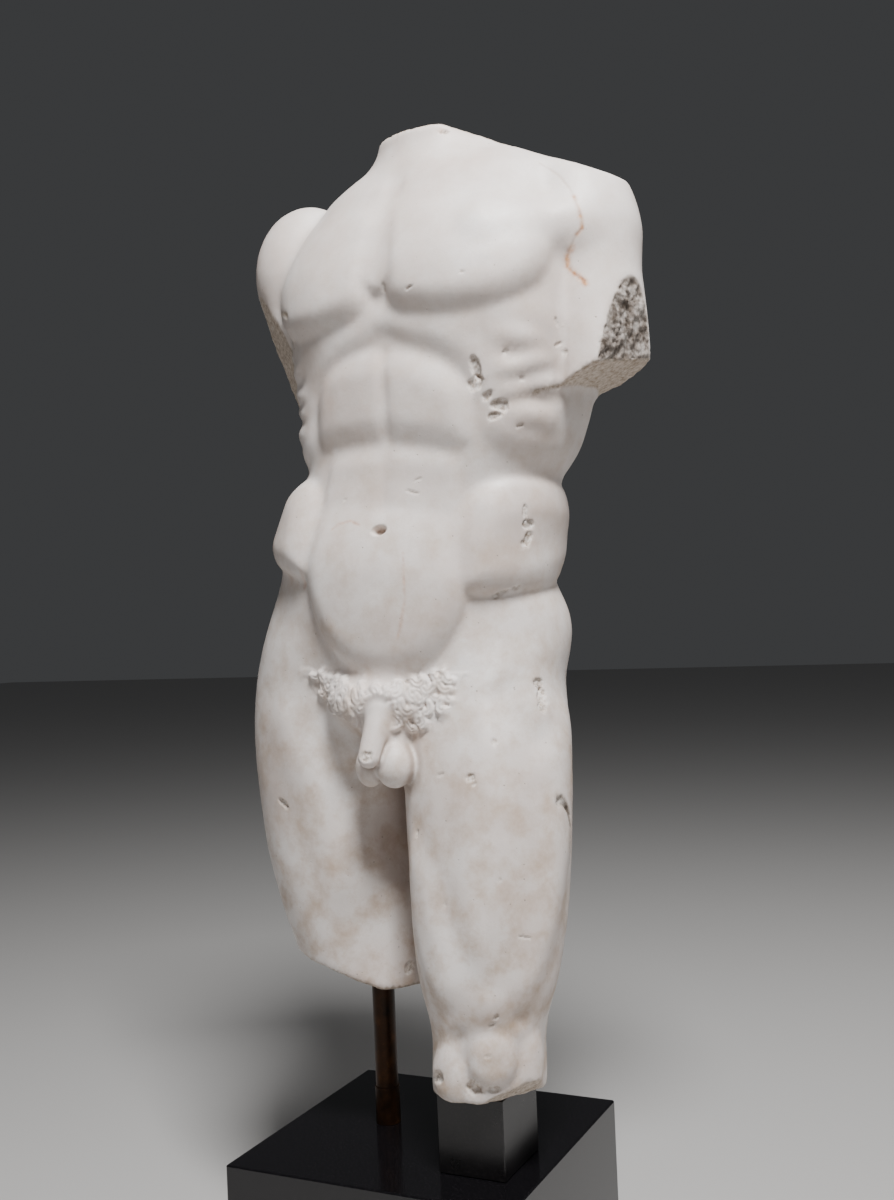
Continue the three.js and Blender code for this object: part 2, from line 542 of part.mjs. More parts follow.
// ---------------------------------------------------------------- fewer, better placed faces
// Repeatedly merges the pair of points that changes the surface least, never opening the skin.
class Thinner {
  constructor({ points, faces }) {
    this.points = points;
    this.faces = faces.map((f) => [...f]);
    this.live = this.faces.length;
    this.around = points.map(() => new Set());
    this.faces.forEach((f, i) => f.forEach((v) => this.around[v].add(i)));
    this.quadric = points.map(() => new Float64Array(10));
    this.faces.forEach((f) => this.weigh(f));
    this.version = new Int32Array(points.length);
    this.heap = [];
    points.forEach((p, a) => this.neighbours(a).forEach((b) => {
      if (a < b) this.offer(a, b);
    }));
  }

  normal(a, b, c) {
    const [p, q, r] = [a, b, c];
    const u = [q[0] - p[0], q[1] - p[1], q[2] - p[2]];
    const v = [r[0] - p[0], r[1] - p[1], r[2] - p[2]];
    return [u[1] * v[2] - u[2] * v[1], u[2] * v[0] - u[0] * v[2], u[0] * v[1] - u[1] * v[0]];
  }

  weigh(f) {
    const p = this.points[f[0]];
    const n = this.normal(p, this.points[f[1]], this.points[f[2]]);
    const size = Math.hypot(...n);
    if (size < 1e-9) return;
    const [a, b, c] = n.map((v) => v / size);
    const d = -(a * p[0] + b * p[1] + c * p[2]);
    const terms = [a * a, a * b, a * c, a * d, b * b, b * c, b * d, c * c, c * d, d * d];
    for (const v of f) terms.forEach((t, i) => { this.quadric[v][i] += t * size; });
  }

  neighbours(a) {
    const out = new Set();
    for (const f of this.around[a]) this.faces[f].forEach((v) => out.add(v));
    out.delete(a);
    return out;
  }

  cost(q, p) {
    const [x, y, z] = p;
    return q[0] * x * x + 2 * q[1] * x * y + 2 * q[2] * x * z + 2 * q[3] * x + q[4] * y * y
      + 2 * q[5] * y * z + 2 * q[6] * y + q[7] * z * z + 2 * q[8] * z + q[9];
  }

  offer(a, b) {
    const q = this.quadric[a].map((v, i) => v + this.quadric[b][i]);
    const p = this.points[a];
    const r = this.points[b];
    const long = Math.hypot(p[0] - r[0], p[1] - r[1], p[2] - r[2]);
    const mid = p.map((v, i) => (v + r[i]) / 2);
    const hold = 1e-4 * (q[0] + q[4] + q[7]) + 1e-9;            // keeps the answer near the edge
    const m = [q[0] + hold, q[1], q[2], q[4] + hold, q[5], q[7] + hold];
    const s = [hold * mid[0] - q[3], hold * mid[1] - q[6], hold * mid[2] - q[8]];
    const c0 = m[3] * m[5] - m[4] * m[4];
    const c1 = m[2] * m[4] - m[1] * m[5];
    const c2 = m[1] * m[4] - m[2] * m[3];
    const det = m[0] * c0 + m[1] * c1 + m[2] * c2;
    let best = mid;
    if (Math.abs(det) > 1e-12) {
      const c4 = m[0] * m[5] - m[2] * m[2];
      const c5 = m[1] * m[2] - m[0] * m[4];
      const c8 = m[0] * m[3] - m[1] * m[1];
      const solved = [(c0 * s[0] + c1 * s[1] + c2 * s[2]) / det,
        (c1 * s[0] + c4 * s[1] + c5 * s[2]) / det, (c2 * s[0] + c5 * s[1] + c8 * s[2]) / det];
      if (Math.hypot(...solved.map((v, i) => v - mid[i])) < long) best = solved;
    }
    const price = Math.max(this.cost(q, best), 0) + 0.02 * long ** 3;
    this.push([price, a, b, this.version[a], this.version[b], best]);
  }

  push(item) {
    const h = this.heap;
    let i = h.push(item) - 1;
    while (i > 0) {
      const up = (i - 1) >> 1;
      if (h[up][0] <= h[i][0]) break;
      [h[up], h[i]] = [h[i], h[up]];
      i = up;
    }
  }

  pop() {
    const h = this.heap;
    const top = h[0];
    const last = h.pop();
    if (h.length > 0) {
      h[0] = last;
      let i = 0;
      for (;;) {
        let k = 2 * i + 1;
        if (k >= h.length) break;
        if (k + 1 < h.length && h[k + 1][0] < h[k][0]) k += 1;
        if (h[i][0] <= h[k][0]) break;
        [h[k], h[i]] = [h[i], h[k]];
        i = k;
      }
    }
    return top;
  }

  allowed(a, b, spot) {
    const near = this.neighbours(a);
    let shared = 0;
    for (const v of this.neighbours(b)) if (near.has(v)) shared += 1;
    if (shared !== 2) return false;
    for (const v of [a, b]) {
      for (const f of this.around[v]) {
        const face = this.faces[f];
        if (face.includes(a) && face.includes(b)) continue;
        const before = this.normal(...face.map((w) => this.points[w]));
        const moved = face.map((w) => (w === v ? spot : this.points[w]));
        const after = this.normal(...moved);
        const dot = before[0] * after[0] + before[1] * after[1] + before[2] * after[2];
        const size = Math.hypot(...after);
        if (dot < 0.35 * Math.hypot(...before) * size || size < 1) return false;
      }
    }
    return true;
  }

  thin(target) {
    while (this.live > target && this.heap.length > 0) {
      const [, a, b, va, vb, spot] = this.pop();
      if (va !== this.version[a] || vb !== this.version[b]) continue;
      if (!this.allowed(a, b, spot)) continue;
      this.points[a] = spot;
      this.quadric[b].forEach((v, i) => { this.quadric[a][i] += v; });
      for (const f of [...this.around[b]]) {
        const face = this.faces[f];
        if (face.includes(a)) {
          face.forEach((v) => this.around[v].delete(f));
          this.faces[f] = null;
          this.live -= 1;
        } else {
          face[face.indexOf(b)] = a;
          this.around[a].add(f);
        }
      }
      this.around[b].clear();
      this.version[a] += 1;
      this.version[b] = -1;
      for (const v of this.neighbours(a)) this.offer(Math.min(a, v), Math.max(a, v));
    }
    const used = new Map();
    const points = [];
    const faces = this.faces.filter(Boolean).map((f) => f.map((v) => {
      if (!used.has(v)) {
        used.set(v, points.length);
        points.push(this.points[v]);
      }
      return used.get(v);
    }));
    return { points, faces };
  }
}

// ---------------------------------------------------------------- pieces
function finish(name, geometry, colour, roughness, metalness) {
  const material = new THREE.MeshStandardMaterial({ color: colour, roughness, metalness });
  const mesh = new THREE.Mesh(geometry, material);
  mesh.name = name;
  return mesh;
}
// a sawn block with its arrises just taken off
function block(x0, x1, y0, y1, z0, z1, arris) {
  const corners = [];
  for (const [x, sx] of [[x0, 1], [x1, -1]]) {
    for (const [y, sy] of [[y0, 1], [y1, -1]]) {
      for (const [z, sz] of [[z0, 1], [z1, -1]]) {
        corners.push(new THREE.Vector3(x + sx * arris, y + sy * arris, z));
        corners.push(new THREE.Vector3(x + sx * arris, y, z + sz * arris));
        corners.push(new THREE.Vector3(x, y + sy * arris, z + sz * arris));
      }
    }
  }
  return new ConvexGeometry(corners);
}
function upright(x, y, z0, z1, radius) {
  const geometry = new THREE.CylinderGeometry(radius, radius, z1 - z0, 48);
  geometry.rotateX(Math.PI / 2);
  geometry.translate(x, y, (z0 + z1) / 2);
  return geometry;
}
function torso() {
  const raw = skin(marble, [-200, -180, 220], [320, 190, 1250], GRID);
  settle(raw.points, marble, 3, GRID / 2);
  const { points, faces } = new Thinner(raw).thin(TORSO_TRIANGLES);
  const geometry = new THREE.BufferGeometry();
  geometry.setAttribute('position', new THREE.Float32BufferAttribute(points.flat(), 3));
  geometry.setIndex(faces.flat());
  geometry.computeVertexNormals();
  return geometry;
}

const object = new THREE.Group();
object.name = 'marble_torso_on_base';
const top = BASE.height;
const footTop = top + GAP + ROD_FOOT.height;
object.add(finish('stone_base', block(-BASE.width / 2, BASE.width / 2, -BASE.depth / 2, BASE.depth / 2,
  0, top, BASE.arris), 0x17161a, 0.16, 0));
object.add(finish('knee_block', block(KNEE_BLOCK.left, KNEE_BLOCK.right, KNEE_BLOCK.front,
  KNEE_BLOCK.back, top + GAP, KNEE_BLOCK.top - GAP, KNEE_BLOCK.arris), 0x141316, 0.3, 0));
object.add(finish('rod_foot', upright(ROD.x, ROD.y, top + GAP, footTop, ROD_FOOT.radius),
  0x3a2f28, 0.45, 0.7));
object.add(finish('support_rod', upright(ROD.x, ROD.y, footTop + GAP, ROD.top - GAP, ROD.radius),
  0x2c2725, 0.42, 0.75));
object.add(finish('torso', torso(), 0xded6cf, 0.55, 0));

export default object;
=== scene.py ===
"""A marble torso on its polished black stone base: its looks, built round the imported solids.

Shapes are given in millimetres in the solids' own frame (+Z up, the front faces -Y, the statue's
own left is +X) and become metres where a mesh is made.
"""
import math

import bpy
import numpy as np
from mathutils import Matrix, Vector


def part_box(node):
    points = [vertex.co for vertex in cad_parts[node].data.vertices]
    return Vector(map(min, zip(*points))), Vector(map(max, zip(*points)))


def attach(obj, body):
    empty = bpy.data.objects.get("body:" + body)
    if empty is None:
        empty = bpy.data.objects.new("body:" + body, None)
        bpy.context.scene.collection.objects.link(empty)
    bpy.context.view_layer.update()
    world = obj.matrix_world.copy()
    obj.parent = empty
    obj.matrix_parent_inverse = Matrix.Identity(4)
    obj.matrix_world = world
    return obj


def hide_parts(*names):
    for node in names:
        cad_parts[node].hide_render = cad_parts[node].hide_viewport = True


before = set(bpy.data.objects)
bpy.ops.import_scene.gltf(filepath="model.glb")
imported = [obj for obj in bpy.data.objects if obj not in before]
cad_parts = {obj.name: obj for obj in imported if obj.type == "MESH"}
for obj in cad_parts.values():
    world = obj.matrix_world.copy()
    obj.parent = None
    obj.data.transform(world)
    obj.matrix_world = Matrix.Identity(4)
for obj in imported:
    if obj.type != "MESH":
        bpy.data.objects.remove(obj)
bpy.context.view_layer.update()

# ------------------------------------------------------------------------------ torso
# A headless man's torso in fine white marble, one stone from the neck break to the left knee.
# Carved and rubbed smooth, then broken, chipped, pitted and stained by water and iron.
# The solid's own form is worked out again here, finer, with the small carving on top.
MM = 0.001

# level, centre x, centre y, turn of the front towards -X (deg), lean of the level (rise per mm)
TRUNK_AXIS = [
    (500, -4, 2, -5, 0.13), (600, -2, 2, -5, 0.13), (650, 4, 2, -5, 0.13), (720, 11, 2, -5, 0.13),
    (780, 16, 2, -4, 0.12), (830, 28, 2, -1, 0.09), (880, 42, 2, 4, 0.05), (940, 50, 2, 7, 0.02),
    (1010, 52, 2, 8.5, 0), (1100, 52, 2, 8.5, 0), (1160, 54, 6, 8.5, 0), (1260, 57, 12, 8.5, 0),
]
# level, half width, depth in front, depth behind, roundness power
TRUNK_SECTION = [
    (500, 90, 60, 70, 2), (560, 128, 74, 98, 2.1), (620, 152, 84, 108, 2.2),
    (680, 160, 92, 108, 2.2), (740, 153, 96, 98, 2.25), (790, 142, 98, 86, 2.3),
    (840, 139, 96, 84, 2.3), (880, 143, 98, 89, 2.3), (940, 157, 102, 102, 2.3),
    (1000, 165, 104, 114, 2.35), (1060, 165, 100, 118, 2.35), (1110, 160, 92, 112, 2.3),
    (1145, 150, 80, 104, 2.2), (1163, 136, 73, 96, 2.2), (1178, 112, 66, 88, 2.1),
    (1190, 88, 60, 78, 2), (1205, 66, 56, 66, 2), (1260, 60, 56, 60, 2),
]
RIGHT_THIGH_AXIS = [
    (740, -66, 8, 0, 0), (680, -82, 8, 0, 0), (620, -92, 8, 0, 0), (560, -95, 8, 0, 0),
    (500, -94, 8, 0, 0), (460, -92, 8, 0, 0), (400, -84, 8, 0, 0), (340, -72, 8, 0, 0),
    (280, -60, 8, 0, 0),
]
RIGHT_THIGH_SECTION = [
    (740, 70, 60, 70, 2), (680, 95, 80, 96, 2.1), (620, 99, 84, 100, 2.1), (560, 97, 86, 98, 2.1),
    (500, 93, 84, 94, 2.1), (460, 90, 82, 90, 2.1), (400, 83, 78, 84, 2.1), (340, 75, 72, 76, 2),
    (280, 66, 66, 68, 2),
]
LEFT_THIGH_AXIS = [
    (720, 74, 2, 0, 0), (640, 86, -6, 0, 0), (560, 95, -20, 0, 0), (460, 101, -35, 0, 0),
    (380, 102, -46, 0, 0), (320, 102, -54, 0, 0), (270, 102, -58, 0, 0), (215, 101, -60, 0, 0),
]
LEFT_THIGH_SECTION = [
    (720, 70, 60, 70, 2), (640, 88, 76, 92, 2.1), (560, 87, 80, 92, 2.1), (460, 84, 77, 84, 2.1),
    (380, 77, 73, 78, 2.1), (330, 69, 67, 72, 2), (300, 60, 60, 66, 2), (270, 56, 55, 60, 2.2),
    (240, 56, 55, 60, 2.3), (215, 54, 53, 54, 2.2),
]
# Carved masses: name, rise, rounding of the edge, crispness of the edge, fade levels, and the
# outline as (degrees round from the front, level). An outline from 0 to 0 closes over the middle.
# One that goes below 0 degrees is whole, and is carved once rather than on both sides.
TRUNK_MASSES = [
    ("pectoral", 18, 29, 0.75, (1180, 1050),
     [(3, 1130), (2, 1075), (3, 1040), (6, 1023), (13, 1012), (25, 1006), (38, 1002), (50, 1003),
      (60, 1009), (69, 1022), (75, 1041), (79, 1070), (82, 1110), (70, 1150), (30, 1165)]),
    ("breast bone", 14, 22, 0.2, (1175, 1050),
     [(0, 1022), (10, 1032), (18, 1060), (20, 1160), (0, 1180)]),
    ("rib cage", 6, 18, 0.5, None,
     [(0, 992), (14, 982), (28, 972), (38, 958), (45, 938), (48, 910), (50, 892), (57, 876),
      (70, 868), (90, 866), (112, 880), (112, 1060), (60, 1080), (0, 1080)]),
    ("upper belly", 8, 27, 0.5, None,
     [(0, 884), (10, 883), (24, 879), (38, 875), (46, 882), (47, 906), (45, 930), (39, 948),
      (27, 963), (14, 972), (0, 978), (-14, 980), (-30, 977), (-44, 964), (-51, 934), (-52, 900),
      (-46, 882), (-30, 884), (-12, 886)]),
    ("middle belly", 3, 14, 0.3, None,
     [(0, 812), (20, 812), (38, 806), (43, 820), (43, 850), (40, 870), (24, 876), (0, 878)]),
    ("belly", 14, 32, 0.7, (850, 745),
     [(0, 643), (14, 648), (25, 659), (34, 676), (40, 697), (44, 722), (46, 748), (45, 790),
      (44, 840), (30, 870), (0, 880)]),
    ("flank over the hip", 18, 31, 0.75, None,
     [(39, 748), (44, 741), (51, 741), (61, 744), (73, 749), (88, 756), (104, 766), (126, 786),
      (124, 828), (104, 848), (84, 853), (67, 853), (55, 847), (47, 836), (42, 815), (39, 790),
      (38, 768)]),
    ("back muscle", 9, 26, 0.4, None,
     [(85, 1090), (86, 1000), (88, 940), (92, 895), (102, 866), (125, 850), (150, 880),
      (156, 1000), (150, 1100)]),
]
LEFT_THIGH_MASSES = [
    ("front thigh muscle", 5, 34, 0.15, None,
     [(20, 352), (32, 368), (42, 405), (48, 460), (48, 520), (42, 580), (28, 634), (12, 594),
      (-2, 544), (-9, 490), (-11, 440), (-6, 400), (6, 368)]),
    ("inner teardrop", 6, 28, 0.15, None,
     [(-16, 456), (-5, 412), (5, 372), (6, 342), (-6, 322), (-22, 318), (-42, 345), (-56, 400),
      (-58, 470), (-38, 500)]),
    ("outer thigh muscle", 5, 34, 0.1, None,
     [(62, 566), (55, 510), (52, 450), (46, 400), (38, 362), (37, 336), (52, 322), (74, 338),
      (96, 420), (112, 520), (116, 600), (90, 626)]),
    ("knee cap", 10, 20, 0.7, None,
     [(26, 246), (44, 252), (53, 270), (46, 292), (28, 300), (9, 293), (1, 272), (8, 253)]),
    ("inner knee", 8, 19, 0.6, None,
     [(-18, 226), (-4, 238), (-1, 262), (-12, 282), (-30, 284), (-46, 266), (-40, 236)]),
    ("outer knee", 7, 18, 0.6, None,
     [(60, 230), (57, 262), (61, 288), (76, 294), (92, 278), (90, 244), (76, 228)]),
]
# Marks: strokes are (name, rise, width, share of the length that fades at an end, line) and
# pads are (name, rise, (half width, half height), softness, centre, lean, on both sides or one).
# Cut in where rise < 0.
TRUNK_STROKES = [
    ("breast groove", -1.5, 12, 0.12, [(0, 1150), (0, 1080), (0, 1012)]),
    ("collar bone", 2, 12, 0.1, [(6, 1150), (30, 1158), (58, 1152)]),
    ("upper middle line", -3, 8, 0.1, [(0, 984), (0, 930), (0, 880)]),
    ("lower middle line", -1.5, 9, 0.1, [(0, 875), (0, 812)]),
    ("rib gap 1", -2.5, 7, 0.25, [(55, 956), (63, 962), (74, 968)]),
    ("rib gap 2", -3, 7, 0.25, [(54, 932), (61, 937), (72, 945), (80, 951)]),
    ("rib gap 3", -3, 7, 0.25, [(56, 914), (65, 921), (76, 925), (86, 931)]),
    ("spine furrow", -12, 15, 0.1, [(180, 1170), (180, 1000), (180, 850), (180, 700)]),
    ("loin cord", 7, 22, 0.2, [(166, 1000), (164, 880), (162, 760)]),
    ("blade edge", -4, 13, 0.2, [(158, 1130), (154, 1060), (143, 990), (122, 975)]),
]
TRUNK_PADS = [
    ("throat pit", -3, (20, 14), 0.9, (0, 1158), 0, "both"),
    ("lower breast", 6, (60, 44), 0.9, (46, 1044), 0, "both"),
    ("belly swell", 8, (92, 84), 0.9, (0, 744), 0, "both"),
    ("rib 1", 2, (25, 17), 0.9, (62, 998), -0.3, "both"),
    ("rib 2", 4, (17, 9), 0.8, (63, 975), -0.3, "both"),
    ("rib 3", 2, (32, 26), 0.8, (68, 940), -0.3, "both"),
    ("rib 3 fore", 3.5, (11, 8), 0.8, (60, 948), -0.2, "both"),
    ("rib 3 side", 4, (11, 9), 0.8, (68, 955), -0.3, "both"),
    ("rib 4 fore", 3.5, (11, 8), 0.8, (61, 929), -0.2, "both"),
    ("rib 4 side", 4, (12, 9), 0.8, (71, 934), -0.3, "both"),
    ("rib 5 fore", 3.5, (12, 9), 0.8, (65, 908), -0.2, "both"),
    ("rib 5 side", 3.5, (12, 9), 0.8, (74, 904), -0.3, "both"),
    ("low ribs", 4, (34, 22), 0.8, (67, 890), -0.2, "both"),
    ("side muscle", 7, (44, 52), 0.9, (102, 904), 0, "one"),
    ("left hip", 11, (56, 34), 0.9, (98, 712), 0, "one"),
    ("right hip", 9, (56, 44), 0.9, (-96, 668), 0, "one"),
    ("shoulder blade", 8, (60, 64), 0.8, (140, 1060), 0, "both"),
]
LEFT_THIGH_STROKES = [
    ("hip hollow", -6, 22, 0.25, [(30, 646), (46, 612), (60, 580), (72, 560)]),
    ("knee tendon", 3, 16, 0.4, [(24, 348), (24, 305)]),
    ("inner knee dip", -5, 14, 0.4, [(-10, 306), (-4, 284)]),
    ("outer knee dip", -4, 13, 0.4, [(56, 324), (54, 300)]),
]
LEFT_THIGH_PADS = [
    ("thigh swell", 4, (60, 150), 0.95, (20, 490), 0, "one"),
    ("hip dent", -6, (46, 20), 0.9, (90, 640), 0, "one"),
]
RIGHT_THIGH_STROKES = [
    ("thigh ridge", 6, 30, 0.2, [(-24, 650), (0, 570), (14, 510), (26, 440), (32, 380)]),
    ("inner hollow", -4, 20, 0.2, [(24, 600), (44, 544), (60, 478), (76, 412)]),
]


def ease(t):
    t = np.clip(t, 0, 1)
    return t * t * (3 - 2 * t)


def join(a, b, blend):
    """The nearer of two distances, run together over blend millimetres."""
    h = np.maximum(blend - np.abs(a - b), 0) / blend
    return np.minimum(a, b) - h * h * blend * 0.25


def cut(a, b, blend):
    """What two distances share: a trimmed by b, its edge rounded over blend millimetres."""
    return -join(-a, -b, blend)


def levels(rows):
    """Smooth run of each value through its levels, kept for each millimetre."""
    rows = np.array(sorted(rows), float)
    z, v = rows[:, 0], rows[:, 1:]
    step = np.diff(z)[:, None]
    slope = np.diff(v, axis=0) / step
    before, after = slope[:-1], slope[1:]
    mean = (before * step[1:] + after * step[:-1]) / (step[1:] + step[:-1])
    tangent = np.vstack([slope[:1], np.where(before * after <= 0, 0, mean), slope[-1:]])
    kept = np.arange(z[0], z[-1] + 1)
    i = np.clip(np.searchsorted(z, kept, side="right") - 1, 0, len(z) - 2)
    t = ((kept - z[i]) / step[i, 0])[:, None]
    run = ((2 * t**3 - 3 * t**2 + 1) * v[i] + (t**3 - 2 * t**2 + t) * step[i] * tangent[i]
           + (3 * t**2 - 2 * t**3) * v[i + 1] + (t**3 - t**2) * step[i] * tangent[i + 1])
    return lambda level: [np.interp(level, kept, run[:, c]) for c in range(run.shape[1])]


def smooth_line(points, closed, parts):
    """Even curve through a few points."""
    pts = np.array(points, float)
    if closed:
        pts = np.vstack([pts[-1:], pts, pts[:2]])
    else:
        pts = np.vstack([2 * pts[0] - pts[1], pts, 2 * pts[-1] - pts[-2]])
    out = []
    for a, b, c, d in zip(pts[:-3], pts[1:-2], pts[2:-1], pts[3:]):
        for j in range(parts):
            t = j / parts
            out.append(0.5 * (2 * b + (c - a) * t + (2 * a - 5 * b + 4 * c - d) * t * t
                              + (3 * b - a - 3 * c + d) * t**3))
    if not closed:
        out.append(pts[-2])
    return np.array(out)


def along(points, line):
    """Distance of each point to a line of points, and its share of the way along it."""
    run = np.concatenate([[0], np.cumsum(np.linalg.norm(np.diff(line, axis=0), axis=1))])
    best = np.full(len(points), 1e18)
    share = np.zeros(len(points))
    for a, b, at in zip(line[:-1], line[1:], run[:-1]):
        edge = b - a
        size = edge @ edge + 1e-9
        t = np.clip((points - a) @ edge / size, 0, 1)
        d = ((points - a - t[:, None] * edge) ** 2).sum(1)
        near = d < best
        best = np.where(near, d, best)
        share = np.where(near, (at + t * math.sqrt(size)) / run[-1], share)
    return np.sqrt(best), share


class Column:
    """A part lofted up its height, with carved relief over its degrees and levels."""

    def __init__(self, axis, section, round_radius, masses, strokes, pads, mirrored):
        self.axis = levels(axis)
        self.section = levels(section)
        self.per = math.radians(round_radius)
        self.step = 2.0
        self.low = min(row[0] for row in axis)
        top = min(max(row[0] for row in axis), 1200)
        self.rows = int((top - self.low) / self.step) + 1
        self.cols = int(360 * self.per / self.step)
        self.pitch = 360 * self.per / self.cols
        s, w = np.meshgrid((np.arange(self.cols) + 0.5) * self.pitch - 180 * self.per,
                           self.low + np.arange(self.rows) * self.step, indexing="ij")
        whole = np.stack([s.ravel(), w.ravel()], 1)
        half_round = np.abs(whole) if mirrored else whole
        height = np.zeros(len(whole))
        for _, rise, edge, crisp, fade, outline in masses:
            chart = half_round if min(outline)[0] >= 0 else whole
            np.maximum(height, self.mass(chart, rise, edge, crisp, fade, outline), out=height)
        for _, rise, width, ends, line in strokes:
            path = smooth_line([(d * self.per, level) for d, level in line], False, 4)
            d, share = along(half_round, path)
            height += rise * np.exp(-((d / width) ** 2)) * ease(np.minimum(share, 1 - share) / ends)
        for _, rise, half, soft, centre, lean, sides in pads:
            chart = half_round if sides == "both" else whole
            a, b = chart[:, 0] - centre[0] * self.per, chart[:, 1] - centre[1]
            c, n = math.cos(lean), math.sin(lean)
            rho = np.hypot((a * c + b * n) / half[0], (b * c - a * n) / half[1])
            height += rise * ease((1 + soft - rho) / (2 * soft))
        height = height.reshape(self.cols, self.rows)
        for _ in range(4):                        # worn smooth, as sand and hands leave it
            height = (height * 2 + np.roll(height, 1, 0) + np.roll(height, -1, 0)) / 4
            over = np.pad(height, ((0, 0), (1, 1)), mode="edge")
            height = (height * 2 + over[:, :-2] + over[:, 2:]) / 4
        self.height = height

    def mass(self, chart, rise, edge, crisp, fade, outline):
        """Height of one raised mass over the chart."""
        pts = [(d * self.per, level) for d, level in outline]
        if pts[0][0] == 0 and pts[-1][0] == 0:
            pts += [(-d, level) for d, level in reversed(pts)][1:-1]
        line = smooth_line(pts, True, 3)
        box = np.all((chart > line.min(0) - 2) & (chart < line.max(0) + 2), axis=1)
        s, w = chart[box].T
        inside = np.zeros(len(s), bool)
        for (ax, ay), (bx, by) in zip(np.roll(line, 1, 0), line):
            if ay != by:
                inside ^= ((ay > w) != (by > w)) & (s < (bx - ax) * (w - ay) / (by - ay) + ax)
        t = np.clip(along(chart[box], np.vstack([line, line[:1]]))[0] / edge, 0, 1)
        shape = crisp * np.sqrt(1 - (1 - t) ** 2) + (1 - crisp) * ease(t)
        if fade:
            shape = shape * ease((fade[0] - w) / (fade[0] - fade[1]))
        height = np.zeros(len(chart))
        height[box] = rise * shape * inside
        return height

    def chart(self, p):
        """Points to the part's own across, fore-aft and level."""
        near, _, _, lean = self.axis(p[:, 2])
        w = p[:, 2] + lean * (p[:, 0] - near)
        cx, cy, turn, _ = self.axis(w)
        c, s = np.cos(np.radians(turn)), np.sin(np.radians(turn))
        x, y = p[:, 0] - cx, p[:, 1] - cy
        return x * c - y * s, x * s + y * c, w

    def relief(self, deg, w):
        """Carved height at a place on the chart."""
        a = (deg + 180) * self.per / self.pitch - 0.5
        b = np.clip((w - self.low) / self.step, 0, self.rows - 1.001)
        i, j = np.floor(a).astype(int), np.floor(b).astype(int)
        fa, fb = a - i, b - j
        i0, i1 = i % self.cols, (i + 1) % self.cols
        h = self.height
        return ((h[i0, j] * (1 - fa) + h[i1, j] * fa) * (1 - fb)
                + (h[i0, j + 1] * (1 - fa) + h[i1, j + 1] * fa) * fb)

    def distance(self, p):
        """Distance to the part's carved side."""
        u, v, w = self.chart(p)
        half, front, behind, power = self.section(w)
        depth = np.where(v < 0, front, behind)
        qx, qy = np.abs(u) / half + 1e-6, np.abs(v) / depth + 1e-6
        rho = (qx**power + qy**power) ** (1 / power)
        grad = np.hypot(qx ** (power - 1) / half, qy ** (power - 1) / depth) / rho ** (power - 1)
        d = np.maximum((rho - 1) / grad, -0.9 * np.minimum(half, depth))
        deg = np.degrees(np.arctan2(u, -v))
        return d - self.relief(deg, w) * np.clip(1 + d / 60, 0, 1)


trunk = Column(TRUNK_AXIS, TRUNK_SECTION, 130, TRUNK_MASSES, TRUNK_STROKES, TRUNK_PADS, True)
left_thigh = Column(LEFT_THIGH_AXIS, LEFT_THIGH_SECTION, 80, LEFT_THIGH_MASSES,
                    LEFT_THIGH_STROKES, LEFT_THIGH_PADS, False)
right_thigh = Column(RIGHT_THIGH_AXIS, RIGHT_THIGH_SECTION, 90, [], RIGHT_THIGH_STROKES, [], False)


def oval(p, centre, radii):
    """Distance to an egg shape."""
    q = (p - centre) / radii
    near = np.sqrt((q * q).sum(1)) + 1e-6
    return near * (near - 1) / (np.linalg.norm(q / radii, axis=1) + 1e-9)


def taper(p, a, b, ra, rb):
    """Distance to a round limb from a to b, its radius running from ra to rb."""
    a, b = np.array(a, float), np.array(b, float)
    edge = b - a
    t = np.clip((p - a) @ edge / (edge @ edge), 0, 1)
    return np.linalg.norm(p - a - t[:, None] * edge, axis=1) - (ra + (rb - ra) * t)


def flat(p, point, normal):
    """Distance past a flat break; the normal points to the side that is lost."""
    normal = np.array(normal, float)
    return (p - point) @ (normal / np.linalg.norm(normal))


def on_chest(u, v, level):
    """A point given across and fore-aft in the chest's own turned frame."""
    cx, cy, turn, _ = trunk.axis(level)
    c, s = math.cos(math.radians(turn)), math.sin(math.radians(turn))
    return (cx + u * c + v * s, cy - u * s + v * c, level)


def grain(p, size, seed):
    """Smooth random field from -1 to 1, its lumps about size millimetres across."""
    turned = p @ TURN[seed % 3] / size + seed * 7.31
    cell = np.floor(turned).astype(np.int64)
    f = ease(turned - cell)
    total = np.zeros(len(p))
    for dx in (0, 1):
        for dy in (0, 1):
            for dz in (0, 1):
                h = ((cell[:, 0] + dx) * 374761393 + (cell[:, 1] + dy) * 668265263
                     + (cell[:, 2] + dz) * 2246822519 + seed * 3266489917)
                h = (h ^ (h >> 13)) * 1274126177
                h = ((h ^ (h >> 16)) & 0xFFFF) / 32767.5 - 1
                total += (h * np.where(dx, f[:, 0], 1 - f[:, 0]) * np.where(dy, f[:, 1], 1 - f[:, 1])
                          * np.where(dz, f[:, 2], 1 - f[:, 2]))
    return total


TURN = [np.array(Matrix.Rotation(a, 3, "X") @ Matrix.Rotation(b, 3, "Z"))
        for a, b in ((0.7, 0.4), (2.1, 1.3), (-0.9, 2.7))]

# The breaks: a point on each, and the way out of the stone.
NECK_BREAK = ((57, -45, 1217), (-0.05, -0.16, 0.98))
NECK_SIDE_BREAK = ((90, -20, 1219), (0.42, -0.1, 0.9))
ARM_OUTER_BREAK = ((266, -27, 983), (0.92, -0.35, -0.14))
ARM_UNDER_BREAK = ((237, -21, 942), (0.4, -0.05, -0.92))
SHOULDER_BREAK = ((-155, -20, 1065), (-0.72, -0.6, -0.385))
STUMP_SLOPE = ((-55, 10, 307), (-0.33, -0.27, -1))
KNEE_RIM = ((152, -78, 240), (0.55, -0.35, -0.76))
ROD_TOP, KNEE_LEVEL = 312, 230
